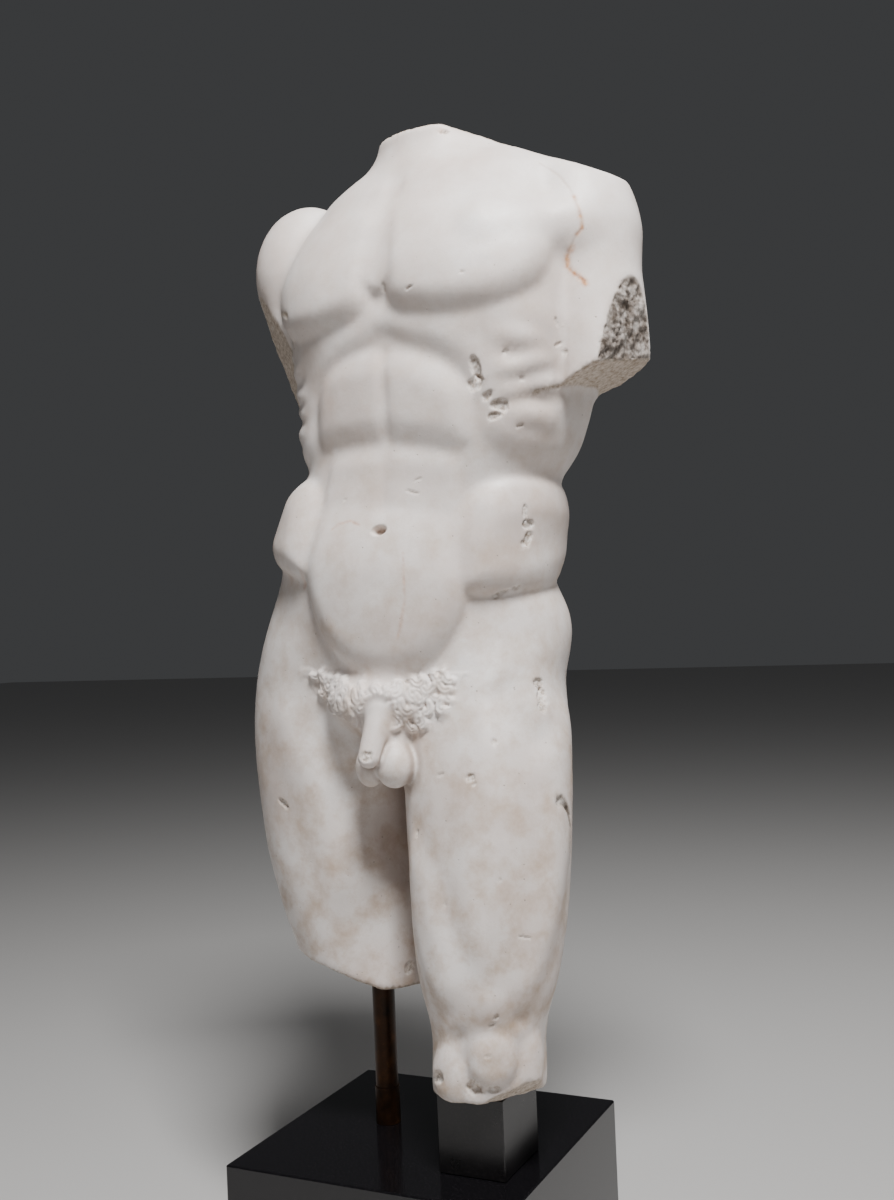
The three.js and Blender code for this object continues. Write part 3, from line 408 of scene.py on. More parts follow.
# Ends of the slopes from neck to shoulders, and of the tendon from the chest to the left arm.
SLOPE_LEFT = (on_chest(36, 18, 1190), on_chest(138, 14, 1152))
SLOPE_RIGHT = (on_chest(-36, 20, 1182), on_chest(-130, 18, 1142))
TENDON = (on_chest(104, -66, 1082), (222, -36, 1092))
SHAFT = ((17, -102, 614), (12, -121, 569), 13.5, 11.5)


def left_arm(p):
    d = join(oval(p, (215, 4, 1104), (58, 58, 74)),
             taper(p, (221, 2, 1080), (241, -10, 920), 53, 50), 24)
    d = cut(d, flat(p, *ARM_OUTER_BREAK), 3)
    d = cut(d, flat(p, *ARM_UNDER_BREAK), 3)
    return join(d, taper(p, *TENDON, 36, 24), 22)


def right_arm(p):
    d = join(oval(p, (-117, 22, 1108), (62, 58, 72)),
             taper(p, (-118, 20, 1090), (-128, 20, 960), 52, 46), 24)
    return cut(d, flat(p, *SHOULDER_BREAK), 3)


def loins(p):
    d = taper(p, *SHAFT)
    d = join(d, oval(p, (28, -96, 558), (20, 20, 23)), 5)
    d = join(d, oval(p, (-3, -92, 556), (15, 16, 21)), 5)
    return join(d, oval(p, (14, -80, 592), (28, 26, 28)), 12)


def marble(p):
    """Distance of each point to the carved skin, negative inside the stone."""
    d = cut(trunk.distance(p), 545 - trunk.chart(p)[2], 30)
    d = join(d, oval(p, (4, -66, 622), (58, 46, 34)), 18)
    d = join(d, oval(p, (68, 80, 660), (76, 66, 90)), 20)
    d = join(d, oval(p, (-64, 80, 676), (76, 66, 90)), 20)
    d = join(d, taper(p, (56, 8, 1120), (60, 12, 1270), 62, 60), 26)
    d = join(d, taper(p, *SLOPE_LEFT, 34, 25), 34)
    d = join(d, taper(p, *SLOPE_RIGHT, 34, 26), 34)
    d = join(d, cut(right_thigh.distance(p), p[:, 2] - 750, 30), 20)
    d = join(d, cut(left_thigh.distance(p), p[:, 2] - 715, 30), 20)
    d = join(d, left_arm(p), 9)
    d = join(d, right_arm(p), 10)
    d = cut(cut(d, flat(p, *NECK_BREAK), 3), flat(p, *NECK_SIDE_BREAK), 4)
    stump = cut(ROD_TOP - p[:, 2], flat(p, *STUMP_SLOPE), 2)
    d = np.where(p[:, 0] < 20, cut(d, stump, 3), d)
    d = cut(d, KNEE_LEVEL - p[:, 2], 3)
    d = cut(d, flat(p, *KNEE_RIM), 3)
    return join(d, loins(p), 8)


def way_out(p):
    """The direction straight out of the stone at each point."""
    h = 0.6
    slope = np.stack([marble(p + h * np.eye(3)[k]) - marble(p - h * np.eye(3)[k])
                      for k in range(3)], 1) / (2 * h)
    return slope, np.linalg.norm(slope, axis=1, keepdims=True) + 1e-9


def settle(p, rounds):
    """Moves points onto the carved skin."""
    for _ in range(rounds):
        slope, size = way_out(p)
        p = p - slope / size**2 * np.clip(marble(p), -6, 6)[:, None]
    return p


def split_long(verts, faces, wanted):
    """Halves every edge that is longer than wanted allows, keeping the skin closed."""
    edge = np.sort(faces[:, [0, 1, 1, 2, 2, 0]].reshape(-1, 2), axis=1)
    keys, which = np.unique(edge[:, 0].astype(np.int64) * len(verts) + edge[:, 1],
                            return_inverse=True)
    ends = np.stack([keys // len(verts), keys % len(verts)], 1)
    middle = verts[ends].mean(1)
    long = np.linalg.norm(verts[ends[:, 0]] - verts[ends[:, 1]], axis=1) > 1.45 * wanted(middle)
    new = np.where(long, len(verts) + np.cumsum(long) - 1, -1)
    mid = new[which.reshape(-1, 3)]
    count = (mid >= 0).sum(1)
    start = np.where(count == 1, np.argmax(mid >= 0, axis=1),
                     np.where(count == 2, (np.argmax(mid < 0, axis=1) + 1) % 3, 0))
    order = (start[:, None] + np.arange(3)) % 3
    a, b, c = np.take_along_axis(faces, order, 1).T
    m, n, o = np.take_along_axis(mid, order, 1).T
    out = []
    for share, tris in ((0, [(a, b, c)]), (1, [(a, m, c), (m, b, c)]),
                        (2, [(m, b, n), (a, m, n), (a, n, c)]),
                        (3, [(a, m, o), (m, b, n), (o, n, c), (m, n, o)])):
        rows = count == share
        out += [np.stack([q[rows] for q in tri], 1) for tri in tris]
    return np.vstack([verts, middle[long]]), np.vstack(out)


def even_out(verts, faces, rounds):
    """Slides points along the skin so that the triangles are of a size with their neighbours."""
    pairs = np.vstack([faces[:, [0, 1]], faces[:, [1, 2]], faces[:, [2, 0]]])
    count = np.bincount(pairs[:, 0], minlength=len(verts))[:, None]
    for _ in range(rounds):
        total = np.stack([np.bincount(pairs[:, 0], weights=verts[pairs[:, 1], k],
                                      minlength=len(verts)) for k in range(3)], 1)
        slope, size = way_out(verts)
        out = slope / size
        slide = total / count - verts
        verts = verts + 0.6 * (slide - (slide * out).sum(1, keepdims=True) * out)
    return verts


# The hair over the loins: the band's upper and lower edge across the front (x, z), filled with
# short hooked locks in staggered rows, each cut as one round roll with a groove along it.
HAIR_TOP = np.array([(-76, 658), (-56, 651), (-32, 645), (-1, 638), (19, 637), (37, 638),
                     (53, 643), (68, 646), (84, 650), (92, 650)], float)
HAIR_UNDER = np.array([(-80, 650), (-72, 634), (-64, 625), (-48, 616), (-32, 607), (-9, 603),
                       (8, 606), (20, 603), (30, 597), (41, 593), (58, 595), (70, 605), (85, 618),
                       (96, 633), (102, 648)], float)
LOCK = {"length": 15, "half": 5.4, "rise": 5.6, "groove": 1.4, "across": 10.8, "down": 9}
draw = np.random.default_rng(7)
locks = []
for row in range(5):
    for k in range(16):
        x = -78 + k * LOCK["across"] + (row % 2) * LOCK["across"] / 2 + draw.uniform(-2, 2)
        z = np.interp(x, *HAIR_TOP.T) - 5 - row * LOCK["down"] + draw.uniform(-1.5, 1.5)
        heading = math.radians(draw.choice([-48, -30, -118, -75]) + draw.uniform(-14, 14))
        hook = math.radians(draw.choice([-115, 115, 85]))
        length = LOCK["length"] * draw.uniform(0.85, 1.2)
        if z < np.interp(x, *HAIR_UNDER.T) + 3 or not -71 < x < 88:
            continue
        path = [np.array((x, z)) - 0.5 * length * np.array((math.cos(heading), math.sin(heading)))]
        for step in range(6):
            turn = heading + hook * (step / 5) ** 2
            path.append(path[-1] + length / 6 * np.array((math.cos(turn), math.sin(turn))))
        locks.append((np.array(path), draw.uniform(0.8, 1.15)))


def hair_height(p):
    """How far the locks stand out from the skin at each point."""
    height = np.zeros(len(p))
    near = ((p[:, 0] > -92) & (p[:, 0] < 112) & (p[:, 2] > 580) & (p[:, 2] < 672)
            & (p[:, 1] < -62))
    q = p[near][:, [0, 2]]
    low, high = np.interp(q[:, 0], *HAIR_UNDER.T), np.interp(q[:, 0], *HAIR_TOP.T)
    bed = ease((q[:, 1] - low + 3) / 4) * ease((high + 2 - q[:, 1]) / 4)
    best = 0.8 * bed
    for path, size in locks:
        d, share = along(q, path)
        half = LOCK["half"] * size * (0.8 + 0.3 * share)
        roll = LOCK["rise"] * size * np.sqrt(np.clip(1 - (d / half) ** 2, 0, 1))
        roll -= LOCK["groove"] * np.exp(-((d / 1.1) ** 2)) * ease(4 * share)
        best = np.where(d < half, np.maximum(best, roll), best)
    shaft = ease((taper(p[near], *SHAFT) - 1) / 4)
    height[near] = best * shaft
    return height


# Chips and gouges: centre on the skin, half width, half height, depth, lean (degrees).
CHIPS = [
    ((137, -102, 950), 6, 13, 3.2, 14), ((135, -98, 934), 8, 8, 2.6, 0),
    ((146, -94, 921), 6, 5, 2.4, 30), ((157, -90, 911), 10, 6, 2.8, -18),
    ((152, -90, 901), 8, 5, 2.2, 10), ((168, -97, 961), 3, 2, 1.2, 0),
    ((171, -75, 892), 4, 2, 1.2, 20), ((178, -82, 936), 3, 2, 1.0, 0),
    ((164, -55, 808), 4, 9, 2.0, 8), ((164, -51, 796), 7, 6, 2.6, 0),
    ((162, -48, 782), 5, 8, 2.2, -12), ((159, -54, 776), 3, 4, 1.5, 0),
    ((138, -57, 731), 8, 3, 1.8, 24), ((149, -50, 734), 5, 4, 1.8, 0),
    ((131, -60, 725), 4, 3, 1.4, 0), ((168, -39, 636), 6, 7, 2.6, 20),
    ((170, -39, 623), 7, 9, 3.2, -16), ((169, -43, 612), 5, 6, 2.2, 8),
    ((-123, -74, 514), 9, 3, 2.2, -32), ((-118, -78, 509), 4, 2, 1.4, 20),
    ((116, -107, 548), 5, 4, 2.2, 0), ((120, -106, 541), 3, 2, 1.4, 30),
    ((82, -103, 550), 6, 1.4, 1.0, 8), ((137, -92, 582), 3, 4, 1.5, 0),
    ((163, -97, 393), 7, 1.4, 1.2, -14), ((136, -113, 318), 3, 3, 1.5, 0),
    ((133, -116, 309), 4, 2, 1.3, 20), ((128, -119, 281), 3, 2, 1.0, 0),
    ((145, -111, 450), 2, 3, 0.9, 0), ((88, -118, 425), 2, 2, 0.8, 0),
    ((52, -98, 490), 2, 4, 1.1, 10), ((45, -107, 1040), 2, 5, 1.2, -16),
    ((81, -120, 1032), 5, 1.5, 1.2, 20), ((70, -117, 1036), 2, 2, 0.9, 0),
    ((137, -120, 1038), 4, 2, 1.0, -10), ((-85, -60, 1101), 2, 2, 0.8, 0),
    ((61, -98, 833), 8, 1.5, 1.0, -20), ((68, -98, 845), 5, 1.4, 0.9, 12),
    ((-17, -98, 831), 4, 1.5, 0.8, 10), ((209, -61, 991), 2, 6, 1.3, 18),
    ((208, -57, 970), 5, 2, 1.2, 30), ((214, -57, 962), 3, 3, 1.1, 0),
    ((-4, -22, 332), 8, 7, 3, 0), ((71, -116, 254), 9, 6, 3.4, 24),
    ((111, -116, 247), 9, 8, 4.2, 0), ((130, -112, 247), 7, 5, 2.8, -20),
    ((16, -136, 570), 8, 6, 2.6, 14), ((92, -53, 1207), 5, 3, 2.2, 0),
]
NAVEL = ((27, -108, 796), 8.5, 5.5, 8)             # centre, half width, half height, depth


def bite(p, centre, across, tall, lean):
    """How far each point is from the middle of a chip, 1 at its rim, in the skin's own plane."""
    d = p - centre
    close = (d * d).sum(1) < (2.2 * max(across, tall)) ** 2
    rho = np.full(len(p), 9.0)
    if close.any():
        slope, size = way_out(np.array([centre], float))
        out = slope[0] / size[0]
        side = np.cross((0, 0, 1), out)
        side /= np.linalg.norm(side)
        up = np.cross(out, side)
        c, s = math.cos(math.radians(lean)), math.sin(math.radians(lean))
        a, b = d[close] @ side, d[close] @ up
        rho[close] = np.hypot((a * c + b * s) / across, (b * c - a * s) / tall)
    return rho


# A hairline crack down the left shoulder, and lines of iron stain on the stone, each with its
# half width and strength.
CRACK = [(190, -38, 1159), (199, -40, 1152), (212, -46, 1140), (221, -51, 1129), (228, -55, 1119),
         (233, -59, 1108), (238, -60, 1092), (239, -58, 1080), (233, -59, 1074), (229, -58, 1068),
         (222, -56, 1057), (219, -55, 1050), (220, -54, 1045), (230, -54, 1035), (237, -53, 1028)]
RUST = [
    (2.0, 0.85, [(231, -57, 1113), (238, -60, 1092), (239, -58, 1080), (233, -59, 1074)]),
    (3.0, 1.0, [(227, -57, 1063), (221, -56, 1056), (220, -54, 1046), (230, -54, 1036),
                (238, -53, 1027)]),
    (1.6, 0.55, [(-28, -106, 801), (-20, -105, 806), (-7, -106, 808), (5, -108, 803)]),
    (1.3, 0.4, [(54, -110, 772), (55, -112, 750), (54, -110, 725), (49, -109, 705),
                (43, -107, 686)]),
    (2.4, 0.35, [(-72, -101, 770), (-72, -96, 756), (-75, -89, 744)]),
    (2.6, 0.45, [(84, -48, 1209), (94, -50, 1208)]),
]


def lost(p):
    """How far each point lies on a break (0 to 1), and on the dark one of the left arm."""
    def on(break_, spread=1.8):
        return ease((spread - np.abs(flat(p, *break_))) / 1.2)
    x, _, z = p.T
    left_stump = (x > 185) & (z < 1045)
    arm = np.maximum(on(ARM_OUTER_BREAK), on(ARM_UNDER_BREAK)) * left_stump
    dark = on(ARM_OUTER_BREAK) * left_stump
    shoulder = on(SHOULDER_BREAK) * ((x < -88) & (z > 955))
    neck = np.maximum(on(NECK_BREAK), on(NECK_SIDE_BREAK)) * (z > 1190)
    stump = np.maximum(on(STUMP_SLOPE), ease((ROD_TOP + 3 - z) / 2)) * ((x < 22) & (z < 350))
    knee = np.maximum(on(KNEE_RIM), ease((KNEE_LEVEL + 2.5 - z) / 1.5)) * ((x > 22) & (z < 262))
    return np.maximum.reduce([arm, shoulder, neck * 0.8, stump, knee]), dark


# Length of an edge of the finished skin, by what it has to show.
EDGE = {"plain": 5.0, "loins": 2.0, "hair": 1.35, "break": 2.3, "dark break": 1.7, "chip": 1.5,
        "navel": 1.2, "crack": 1.5, "rust": 1.5}


def wanted_edge(p):
    """Length of an edge in the finished skin: short where the carving or a break is fine."""
    x, y, z = p.T
    size = np.full(len(p), EDGE["plain"])
    loins_box = (x > -24) & (x < 62) & (z > 525) & (z < 640) & (y < -84)
    size[loins_box] = EDGE["loins"]
    hair = (x > -86) & (x < 106) & (z > 588) & (z < 662) & (y < -68)
    size[hair] = np.where(
        (z[hair] > np.interp(x[hair], *HAIR_UNDER.T) - 6)
        & (z[hair] < np.interp(x[hair], *HAIR_TOP.T) + 4), EDGE["hair"], size[hair])
    broken, dark = lost(p)
    size = np.where(broken > 0.05, EDGE["break"], size)
    size = np.where(dark > 0.05, EDGE["dark break"], size)
    for centre, across, tall, _, _ in CHIPS:
        d = np.linalg.norm(p - centre, axis=1) - max(across, tall)
        size = np.where(d < 2, np.minimum(size, EDGE["chip"]), size)
    size = np.where(np.linalg.norm(p - NAVEL[0], axis=1) < 13, EDGE["navel"], size)
    size = np.where(along(p, np.array(CRACK, float))[0] < 3, EDGE["crack"], size)
    for half, _, line in RUST:
        near = along(p, np.array(line, float))[0] < 2 * half
        size = np.where(near, np.minimum(size, EDGE["rust"]), size)
    return size


# The solid's skin is copied, made even, and settled on the finer carving.
stone = bpy.data.objects.new("torso_skin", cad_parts["torso"].data.copy())
bpy.context.scene.collection.objects.link(stone)
even = stone.modifiers.new("even", "REMESH")
even.mode = "VOXEL"
even.voxel_size = EDGE["plain"] * MM
skin = bpy.data.meshes.new_from_object(stone.evaluated_get(bpy.context.evaluated_depsgraph_get()))
bpy.data.objects.remove(stone)
skin.calc_loop_triangles()
verts = np.empty(len(skin.vertices) * 3)
skin.vertices.foreach_get("co", verts)
verts = verts.reshape(-1, 3) / MM
faces = np.empty(len(skin.loop_triangles) * 3, np.int64)
skin.loop_triangles.foreach_get("vertices", faces)
faces = faces.reshape(-1, 3)
verts = settle(verts, 2)
for _ in range(3):
    verts, faces = split_long(verts, faces, wanted_edge)
    verts = settle(verts, 1)
verts = settle(even_out(verts, faces, 3), 3)

slope, size = way_out(verts)
outward = slope / size
# how shut in each point is, felt 9, 22 and 45 mm out from the skin: the marble is darkened there
# as painted shade, together with the dirt that stays in hollows
hollow = sum(ease(1 - marble(verts + feel * outward) / feel) for feel in (9, 22, 45)) / 3
broken, dark = lost(verts)
# the hand's unevenness, then the locks, the breaks, the chips, the navel and the crack
lift = 0.35 * grain(verts, 34, 1) + 0.16 * grain(verts, 13, 2) + 0.07 * grain(verts, 6, 3)
lift += hair_height(verts)
coarse, fine, sand = grain(verts, 15, 4), grain(verts, 6, 5), grain(verts, 3, 6)
lift += broken * (0.9 * coarse + 0.5 * fine + 0.25 * sand - 0.6)
lift += dark * (1.7 * np.abs(coarse) + 1.1 * fine + 0.8 * sand - 1.8)
fresh = np.zeros(len(verts))
for centre, across, tall, depth, lean in CHIPS:
    rho = bite(verts, centre, across, tall, lean) + 0.28 * fine + 0.12 * sand
    lift -= depth * ease((1.08 - rho) / 0.35) * (1 + 0.3 * sand)
    fresh = np.maximum(fresh, ease((1.15 - rho) / 0.3) * min(depth / 2, 1))
rho = bite(verts, NAVEL[0], NAVEL[1], NAVEL[2], 8)
lift -= NAVEL[3] * ease((1.15 - rho) / 0.75)
# painted shade inside the navel, darkening the stone within it
navel = ease((1.0 - rho) / 0.6)
crack = np.exp(-((along(verts, np.array(CRACK, float))[0] / 1.1) ** 2))
lift -= 0.45 * crack
rust = np.zeros(len(verts))
for half, strength, line in RUST:
    d = along(verts, np.array(line, float))[0] + 0.8 * fine
    uneven = np.clip(0.75 + 0.6 * sand, 0, 1)
    rust = np.maximum(rust, strength * np.exp(-((d / half) ** 2)) * uneven)
verts = verts + outward * lift[:, None]

low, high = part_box("torso")
INSET = 2e-5                             # keeps the skin just inside the solid's box, in metres
verts = np.clip(verts * MM, np.array(low) + INSET, np.array(high) - INSET)
torso_mesh = bpy.data.meshes.new("carved_torso")
torso_mesh.vertices.add(len(verts))
torso_mesh.vertices.foreach_set("co", verts.ravel())
torso_mesh.loops.add(len(faces) * 3)
torso_mesh.loops.foreach_set("vertex_index", faces.ravel())
torso_mesh.polygons.add(len(faces))
torso_mesh.polygons.foreach_set("loop_start", np.arange(0, len(faces) * 3, 3))
torso_mesh.polygons.foreach_set("use_smooth", np.ones(len(faces), bool))
torso_mesh.update(calc_edges=True)
# the hollow attribute carries painted shade for the hollows and the navel, with the dirt kept there
for name, value in (("broken", broken), ("chip", fresh), ("dark", dark), ("rust", rust),
                    ("hollow", np.maximum(hollow, navel)), ("crack", crack)):
    torso_mesh.attributes.new(name, "FLOAT", "POINT").data.foreach_set("value", value)
torso = bpy.data.objects.new("carved_torso", torso_mesh)
bpy.context.scene.collection.objects.link(torso)


def linear(hex_colour):
    """sRGB hex to the linear colour that a shader takes."""
    parts = [int(hex_colour[k:k + 2], 16) / 255 for k in (1, 3, 5)]
    return [v / 12.92 if v <= 0.04045 else ((v + 0.055) / 1.055) ** 2.4 for v in parts] + [1]


def add(material, kind, settings=(), **links):
    """Adds a shader node: settings go to its properties or sockets, links come from other nodes.

    A socket is named, or given by its number: "1" in settings, i1 in links.
    """
    tree = material.node_tree
    node = tree.nodes.new("ShaderNode" + kind)
    for name, value in dict(settings).items():
        if hasattr(node, name):
            setattr(node, name, value)
        else:
            node.inputs[int(name) if name.isdigit() else name].default_value = value
    for name, source in links.items():
        socket = node.inputs[int(name[1:]) if name[0] == "i" and name[1:].isdigit()
                             else name.replace("_", " ")]
        output = source.outputs[0] if isinstance(source, bpy.types.Node) else source
        tree.links.new(output, socket)
    return node


def ramp(material, factor, stops):
    """A colour ramp through (place, hex) stops."""
    node = add(material, "ValToRGB", Fac=factor)
    while len(node.color_ramp.elements) < len(stops):
        node.color_ramp.elements.new(0.5)
    for element, (place, colour) in zip(node.color_ramp.elements, stops):
        element.position = place
        element.color = linear(colour)
    return node


def new_material(name):
    """An empty material and its surface shader."""
    material = bpy.data.materials.new(name)
    material.use_nodes = True
    material.node_tree.nodes.clear()
    shader = add(material, "BsdfPrincipled")
    add(material, "OutputMaterial", Surface=shader)
    return material, shader


def blend(material, factor, under, over):
    """Lays the colour over on the colour under by factor."""
    node = add(material, "Mix", {"data_type": "RGBA"})
    tree = material.node_tree
    tree.links.new(factor, node.inputs[0])
    for place, value in ((6, under), (7, over)):
        if isinstance(value, str):
            node.inputs[place].default_value = linear(value)
        else:
            tree.links.new(value, node.inputs[place])
    return node.outputs[2]


# Fine-grained white marble, rubbed smooth and then buried: a soft, slightly translucent
# half-gloss, warm grey cloud in the white, tan stain patches that are denser towards the bottom,
# pinholes where grains fell out, grey broken faces and rust. Cloud is about 110 mm across, stain
# 30 mm, crystals on a break 5 mm; the 0.5 mm grain is drawn 2 mm across so that it shows.
marble_stone, surface = new_material("weathered_white_marble")
place = add(marble_stone, "TexCoord").outputs["Object"]
cloud = add(marble_stone, "TexNoise", {"Scale": 9, "Detail": 4, "Roughness": 0.55}, Vector=place)
veil = add(marble_stone, "TexNoise", {"Scale": 34, "Detail": 6, "Roughness": 0.65}, Vector=place)
grains = add(marble_stone, "TexNoise", {"Scale": 520, "Detail": 2, "Roughness": 0.6}, Vector=place)
tone = ramp(marble_stone, cloud.outputs[0],
            [(0.33, "#d6c8c0"), (0.5, "#e4dad4"), (0.68, "#f0eae6")])
speck = ramp(marble_stone, grains.outputs[0], [(0.3, "#5a5a5a"), (0.5, "#000000")])
colour = blend(marble_stone, speck.outputs[0], tone.outputs[0], "#b9a89d")
level = add(marble_stone, "SeparateXYZ", Vector=place)
# the tan patches grow denser towards the bottom of the stone, by height alone
more_towards_bottom = add(marble_stone, "MapRange", {"From Min": 0.3, "From Max": 1.15, "To Min": 0.75,
                                       "To Max": 0.1}, Value=level.outputs["Z"])
stain = add(marble_stone, "MapRange", {"From Min": 0.44, "From Max": 0.7}, Value=veil.outputs[0])
stain = add(marble_stone, "Math", {"operation": "MULTIPLY"}, i0=stain, i1=more_towards_bottom)
colour = blend(marble_stone, stain.outputs[0], colour, "#b89a7c")
# darker where the skin is shut in: painted shade in the hollows and the navel, with the dirt that
# stays there
shut_in_shade = add(marble_stone, "Attribute", {"attribute_name": "hollow"}).outputs["Fac"]
shade_and_dirt = add(marble_stone, "MapRange", {"From Min": 0.25, "From Max": 0.9, "To Max": 0.62},
           Value=shut_in_shade)
colour = blend(marble_stone, shade_and_dirt.outputs[0], colour, "#8a7262")
# pinholes a millimetre or less across, drawn a little larger than life so that they show
holes = add(marble_stone, "TexVoronoi", {"Scale": 190, "Randomness": 1}, Vector=place)
chosen = add(marble_stone, "SeparateColor", Color=holes.outputs["Color"])
few = add(marble_stone, "MapRange", {"From Min": 0.86, "From Max": 1.0}, Value=chosen.outputs[0])
wide = add(marble_stone, "Math", {"operation": "MULTIPLY", "1": 0.2}, i0=few)
small = add(marble_stone, "Math", {"operation": "SUBTRACT"}, i0=wide,
            i1=holes.outputs["Distance"])
pits = add(marble_stone, "MapRange", {"From Min": 0.0, "From Max": 0.06}, Value=small)
shade = add(marble_stone, "Math", {"operation": "MULTIPLY", "1": 0.5}, i0=pits)
colour = blend(marble_stone, shade.outputs[0], colour, "#8d7a6d")
# broken faces: coarse crystals with old dirt between them; chips are younger and paler
crystal = add(marble_stone, "TexNoise", {"Scale": 210, "Detail": 4, "Roughness": 0.7}, Vector=place)
patch = add(marble_stone, "TexNoise", {"Scale": 70, "Detail": 5, "Roughness": 0.7}, Vector=place)
masks = {}
for name, pattern, stops in (
        ("broken", crystal, [(0.36, "#a3917f"), (0.52, "#c8b9aa"), (0.68, "#ded3c9")]),
        ("chip", crystal, [(0.34, "#ab9a8a"), (0.5, "#d9cec5"), (0.66, "#eee8e2")]),
        ("dark", patch, [(0.38, "#54493f"), (0.5, "#8a8078"), (0.62, "#b5ada6")]),
        ("rust", crystal, [(0.4, "#a85f28"), (0.62, "#d99a5c")])):
    masks[name] = add(marble_stone, "Attribute", {"attribute_name": name}).outputs["Fac"]
    tone = ramp(marble_stone, pattern.outputs[0], stops)
    colour = blend(marble_stone, masks[name], colour, tone.outputs[0])
crack_mask = add(marble_stone, "Attribute", {"attribute_name": "crack"}).outputs["Fac"]
thin = add(marble_stone, "Math", {"operation": "MULTIPLY", "1": 0.35}, i0=crack_mask)
colour = blend(marble_stone, thin.outputs[0], colour, "#a98566")
marble_stone.node_tree.links.new(colour, surface.inputs["Base Color"])
gloss = add(marble_stone, "MapRange", {"To Min": 0.36, "To Max": 0.6}, Value=veil.outputs[0])
rough_break = add(marble_stone, "Math", {"operation": "MAXIMUM"}, i0=masks["broken"],
                  i1=masks["chip"])
lost_gloss = add(marble_stone, "Math", {"operation": "MULTIPLY", "1": 0.35}, i0=rough_break)
gloss = add(marble_stone, "Math", {"operation": "ADD"}, i0=gloss, i1=lost_gloss)
marble_stone.node_tree.links.new(gloss.outputs[0], surface.inputs["Roughness"])
surface.inputs["IOR"].default_value = 1.49
surface.inputs["Subsurface Weight"].default_value = 0.12
surface.inputs["Subsurface Radius"].default_value = (0.006, 0.005, 0.0045)
surface.inputs["Subsurface Scale"].default_value = 1.0
depth = add(marble_stone, "MapRange", {"To Min": 0.22, "To Max": 1.0}, Value=rough_break)
grit = add(marble_stone, "Math", {"operation": "MULTIPLY"}, i0=crystal, i1=depth)
sunk = add(marble_stone, "Math", {"operation": "MULTIPLY", "1": 0.6}, i0=pits)
grit = add(marble_stone, "Math", {"operation": "SUBTRACT"}, i0=grit, i1=sunk)
bump = add(marble_stone, "Bump", {"Strength": 0.6, "Distance": 0.0014}, Height=grit)
marble_stone.node_tree.links.new(bump.outputs[0], surface.inputs["Normal"])
torso_mesh.materials.append(marble_stone)
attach(torso, "root")
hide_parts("torso")

# ------------------------------------------------------------------------------ stone base
# A sawn block of black granite, its faces polished to a mirror and its arrises just eased.
# It stands on its own weight and carries everything above.


def black_granite(name, stops, smear_scale, roughness):
    """Black granite: flecks about 2 mm across, and a finish that varies over the face."""
    material, surface = new_material(name)
    place = add(material, "TexCoord").outputs["Object"]
    fleck = add(material, "TexNoise", {"Scale": 420, "Detail": 3, "Roughness": 0.65},
                Vector=place)
    smear = add(material, "TexNoise", {"Scale": smear_scale, "Detail": 5, "Roughness": 0.6},
                Vector=place)
    tone = ramp(material, fleck.outputs[0], stops)
    sheen = add(material, "MapRange", {"To Min": roughness[0], "To Max": roughness[1]},
                Value=smear.outputs[0])
    material.node_tree.links.new(tone.outputs[0], surface.inputs["Base Color"])
    material.node_tree.links.new(sheen.outputs[0], surface.inputs["Roughness"])
    surface.inputs["IOR"].default_value = 1.54
    return material


def dress(node, material):
    """Gives a solid its real material."""
    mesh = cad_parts[node].data
    mesh.materials.clear()
    mesh.materials.append(material)


# Mirror polish, so the room shows in it; wiping marks about 140 mm across dull it a little.
dress("stone_base", black_granite(
    "polished_black_granite", [(0.5, "#0d0c0e"), (0.64, "#19171a"), (0.78, "#2c292c")],
    7, (0.06, 0.22)))

# ------------------------------------------------------------------------------ knee block
# A small block of the same stone, honed rather than polished, bedded under the flat cut of the
# left knee.
# Honing leaves a satin face, with dust about 45 mm across in patches.
dress("knee_block", black_granite(
    "honed_black_granite", [(0.5, "#0f0d0e"), (0.66, "#1c191a"), (0.8, "#2e2a2b")],
    22, (0.2, 0.4)))

# ------------------------------------------------------------------------------ rod and its foot
# A steel bar an inch across, blackened and waxed brown, that meets the stump of the right thigh.
# It stands in a short sleeve of the same steel on the base. The wax leaves brown patches about
# 30 mm across, and drawing leaves fine lines along the bar.
steel, surface = new_material("blackened_steel_bar")
place = add(steel, "TexCoord").outputs["Object"]
skin_mark = add(steel, "TexNoise", {"Scale": 30, "Detail": 6, "Roughness": 0.65}, Vector=place)
drawn = add(steel, "Mapping", {"Scale": (900, 900, 18)}, Vector=place)
drawn = add(steel, "TexNoise", {"Scale": 1, "Detail": 3}, Vector=drawn)
bar_tone = ramp(steel, skin_mark.outputs[0],
                [(0.35, "#1d140d"), (0.55, "#3a2413"), (0.72, "#5c3b1f")])
steel.node_tree.links.new(bar_tone.outputs[0], surface.inputs["Base Color"])
surface.inputs["Metallic"].default_value = 0.7
sheen = add(steel, "MapRange", {"To Min": 0.3, "To Max": 0.55}, Value=skin_mark.outputs[0])
steel.node_tree.links.new(sheen.outputs[0], surface.inputs["Roughness"])
lines = add(steel, "Bump", {"Strength": 0.15, "Distance": 0.0002}, Height=drawn)
steel.node_tree.links.new(lines.outputs[0], surface.inputs["Normal"])
dress("support_rod", steel)
dress("rod_foot", steel)

# ------------------------------------------------------------------------------ room and camera
# A plain pale floor, a soft key light high in front and to the right, a weak fill from the left
# and a soft light from behind.
floor_mesh = bpy.data.meshes.new("floor")
reach = 14.0
floor_mesh.from_pydata([(-reach, -reach, 0), (reach, -reach, 0), (reach, reach, 0),
                        (-reach, reach, 0)], [], [(0, 1, 2, 3)])
floor = bpy.data.objects.new("floor", floor_mesh)
bpy.context.scene.collection.objects.link(floor)
paper, surface = new_material("pale_floor")
surface.inputs["Base Color"].default_value = linear("#c4c2c0")
surface.inputs["Roughness"].default_value = 0.9
floor_mesh.materials.append(paper)

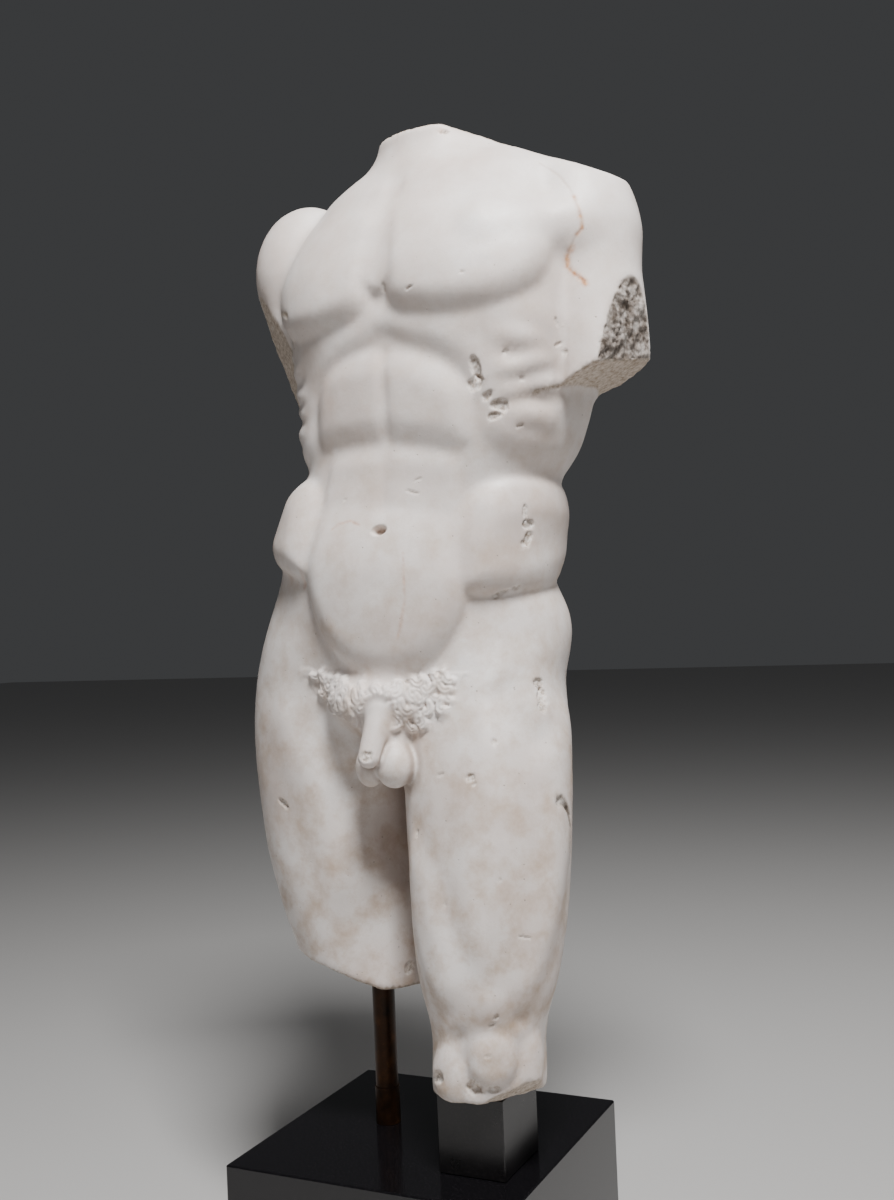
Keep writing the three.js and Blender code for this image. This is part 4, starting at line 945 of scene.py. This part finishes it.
world = bpy.data.worlds.new("studio")
world.use_nodes = True
world.node_tree.nodes["Background"].inputs[0].default_value = linear("#b9bbbe")
world.node_tree.nodes["Background"].inputs[1].default_value = 0.1
bpy.context.scene.world = world


def aim(obj, at, towards):
    """Puts a light or camera at a point, looking at another."""
    forward = np.array(towards, float) - at
    forward /= np.linalg.norm(forward)
    right = np.cross(forward, (0, 0, 1))
    right /= np.linalg.norm(right)
    up = np.cross(right, forward)
    obj.matrix_world = Matrix([[right[k], up[k], -forward[k], at[k]] for k in range(3)]
                              + [[0, 0, 0, 1]])


for name, power, size, at, towards in (
        ("key", 105, 0.55, (0.75, -1.0, 2.55), (0.05, -0.05, 0.85)),
        ("fill", 3, 1.8, (-1.8, -2.2, 1.2), (0, 0, 0.7)),
        ("rim", 9, 1.2, (1.8, 1.0, 1.9), (0, 0, 0.9))):
    lamp = bpy.data.lights.new(name, "AREA")
    lamp.energy = power
    lamp.size = size
    light = bpy.data.objects.new(name, lamp)
    bpy.context.scene.collection.objects.link(light)
    aim(light, at, towards)

# The viewpoint: 1.3 m in front, to the statue's left, level with the hip, and rolled a little.
CAMERA = {"at": (0.6593, -1.2818, 0.7052), "turn": 25.495, "pitch": 0.77, "roll": -2.3987,
          "lens": 39.64}
turn, pitch, roll = (math.radians(CAMERA[k]) for k in ("turn", "pitch", "roll"))
level = np.array((-math.sin(turn), math.cos(turn), 0))
right = np.array((math.cos(turn), math.sin(turn), 0))
forward = level * math.cos(pitch) + np.array((0, 0, math.sin(pitch)))
up = np.array((0, 0, math.cos(pitch))) - level * math.sin(pitch)
right, up = (right * math.cos(roll) + up * math.sin(roll),
             up * math.cos(roll) - right * math.sin(roll))
lens = bpy.data.cameras.new("view")
lens.lens = CAMERA["lens"]
lens.sensor_width = 36
lens.clip_start = 0.05
lens.clip_end = 60
camera = bpy.data.objects.new("view", lens)
bpy.context.scene.collection.objects.link(camera)
camera.matrix_world = Matrix([[right[k], up[k], -forward[k], CAMERA["at"][k]] for k in range(3)]
                             + [[0, 0, 0, 1]])
bpy.context.scene.camera = camera
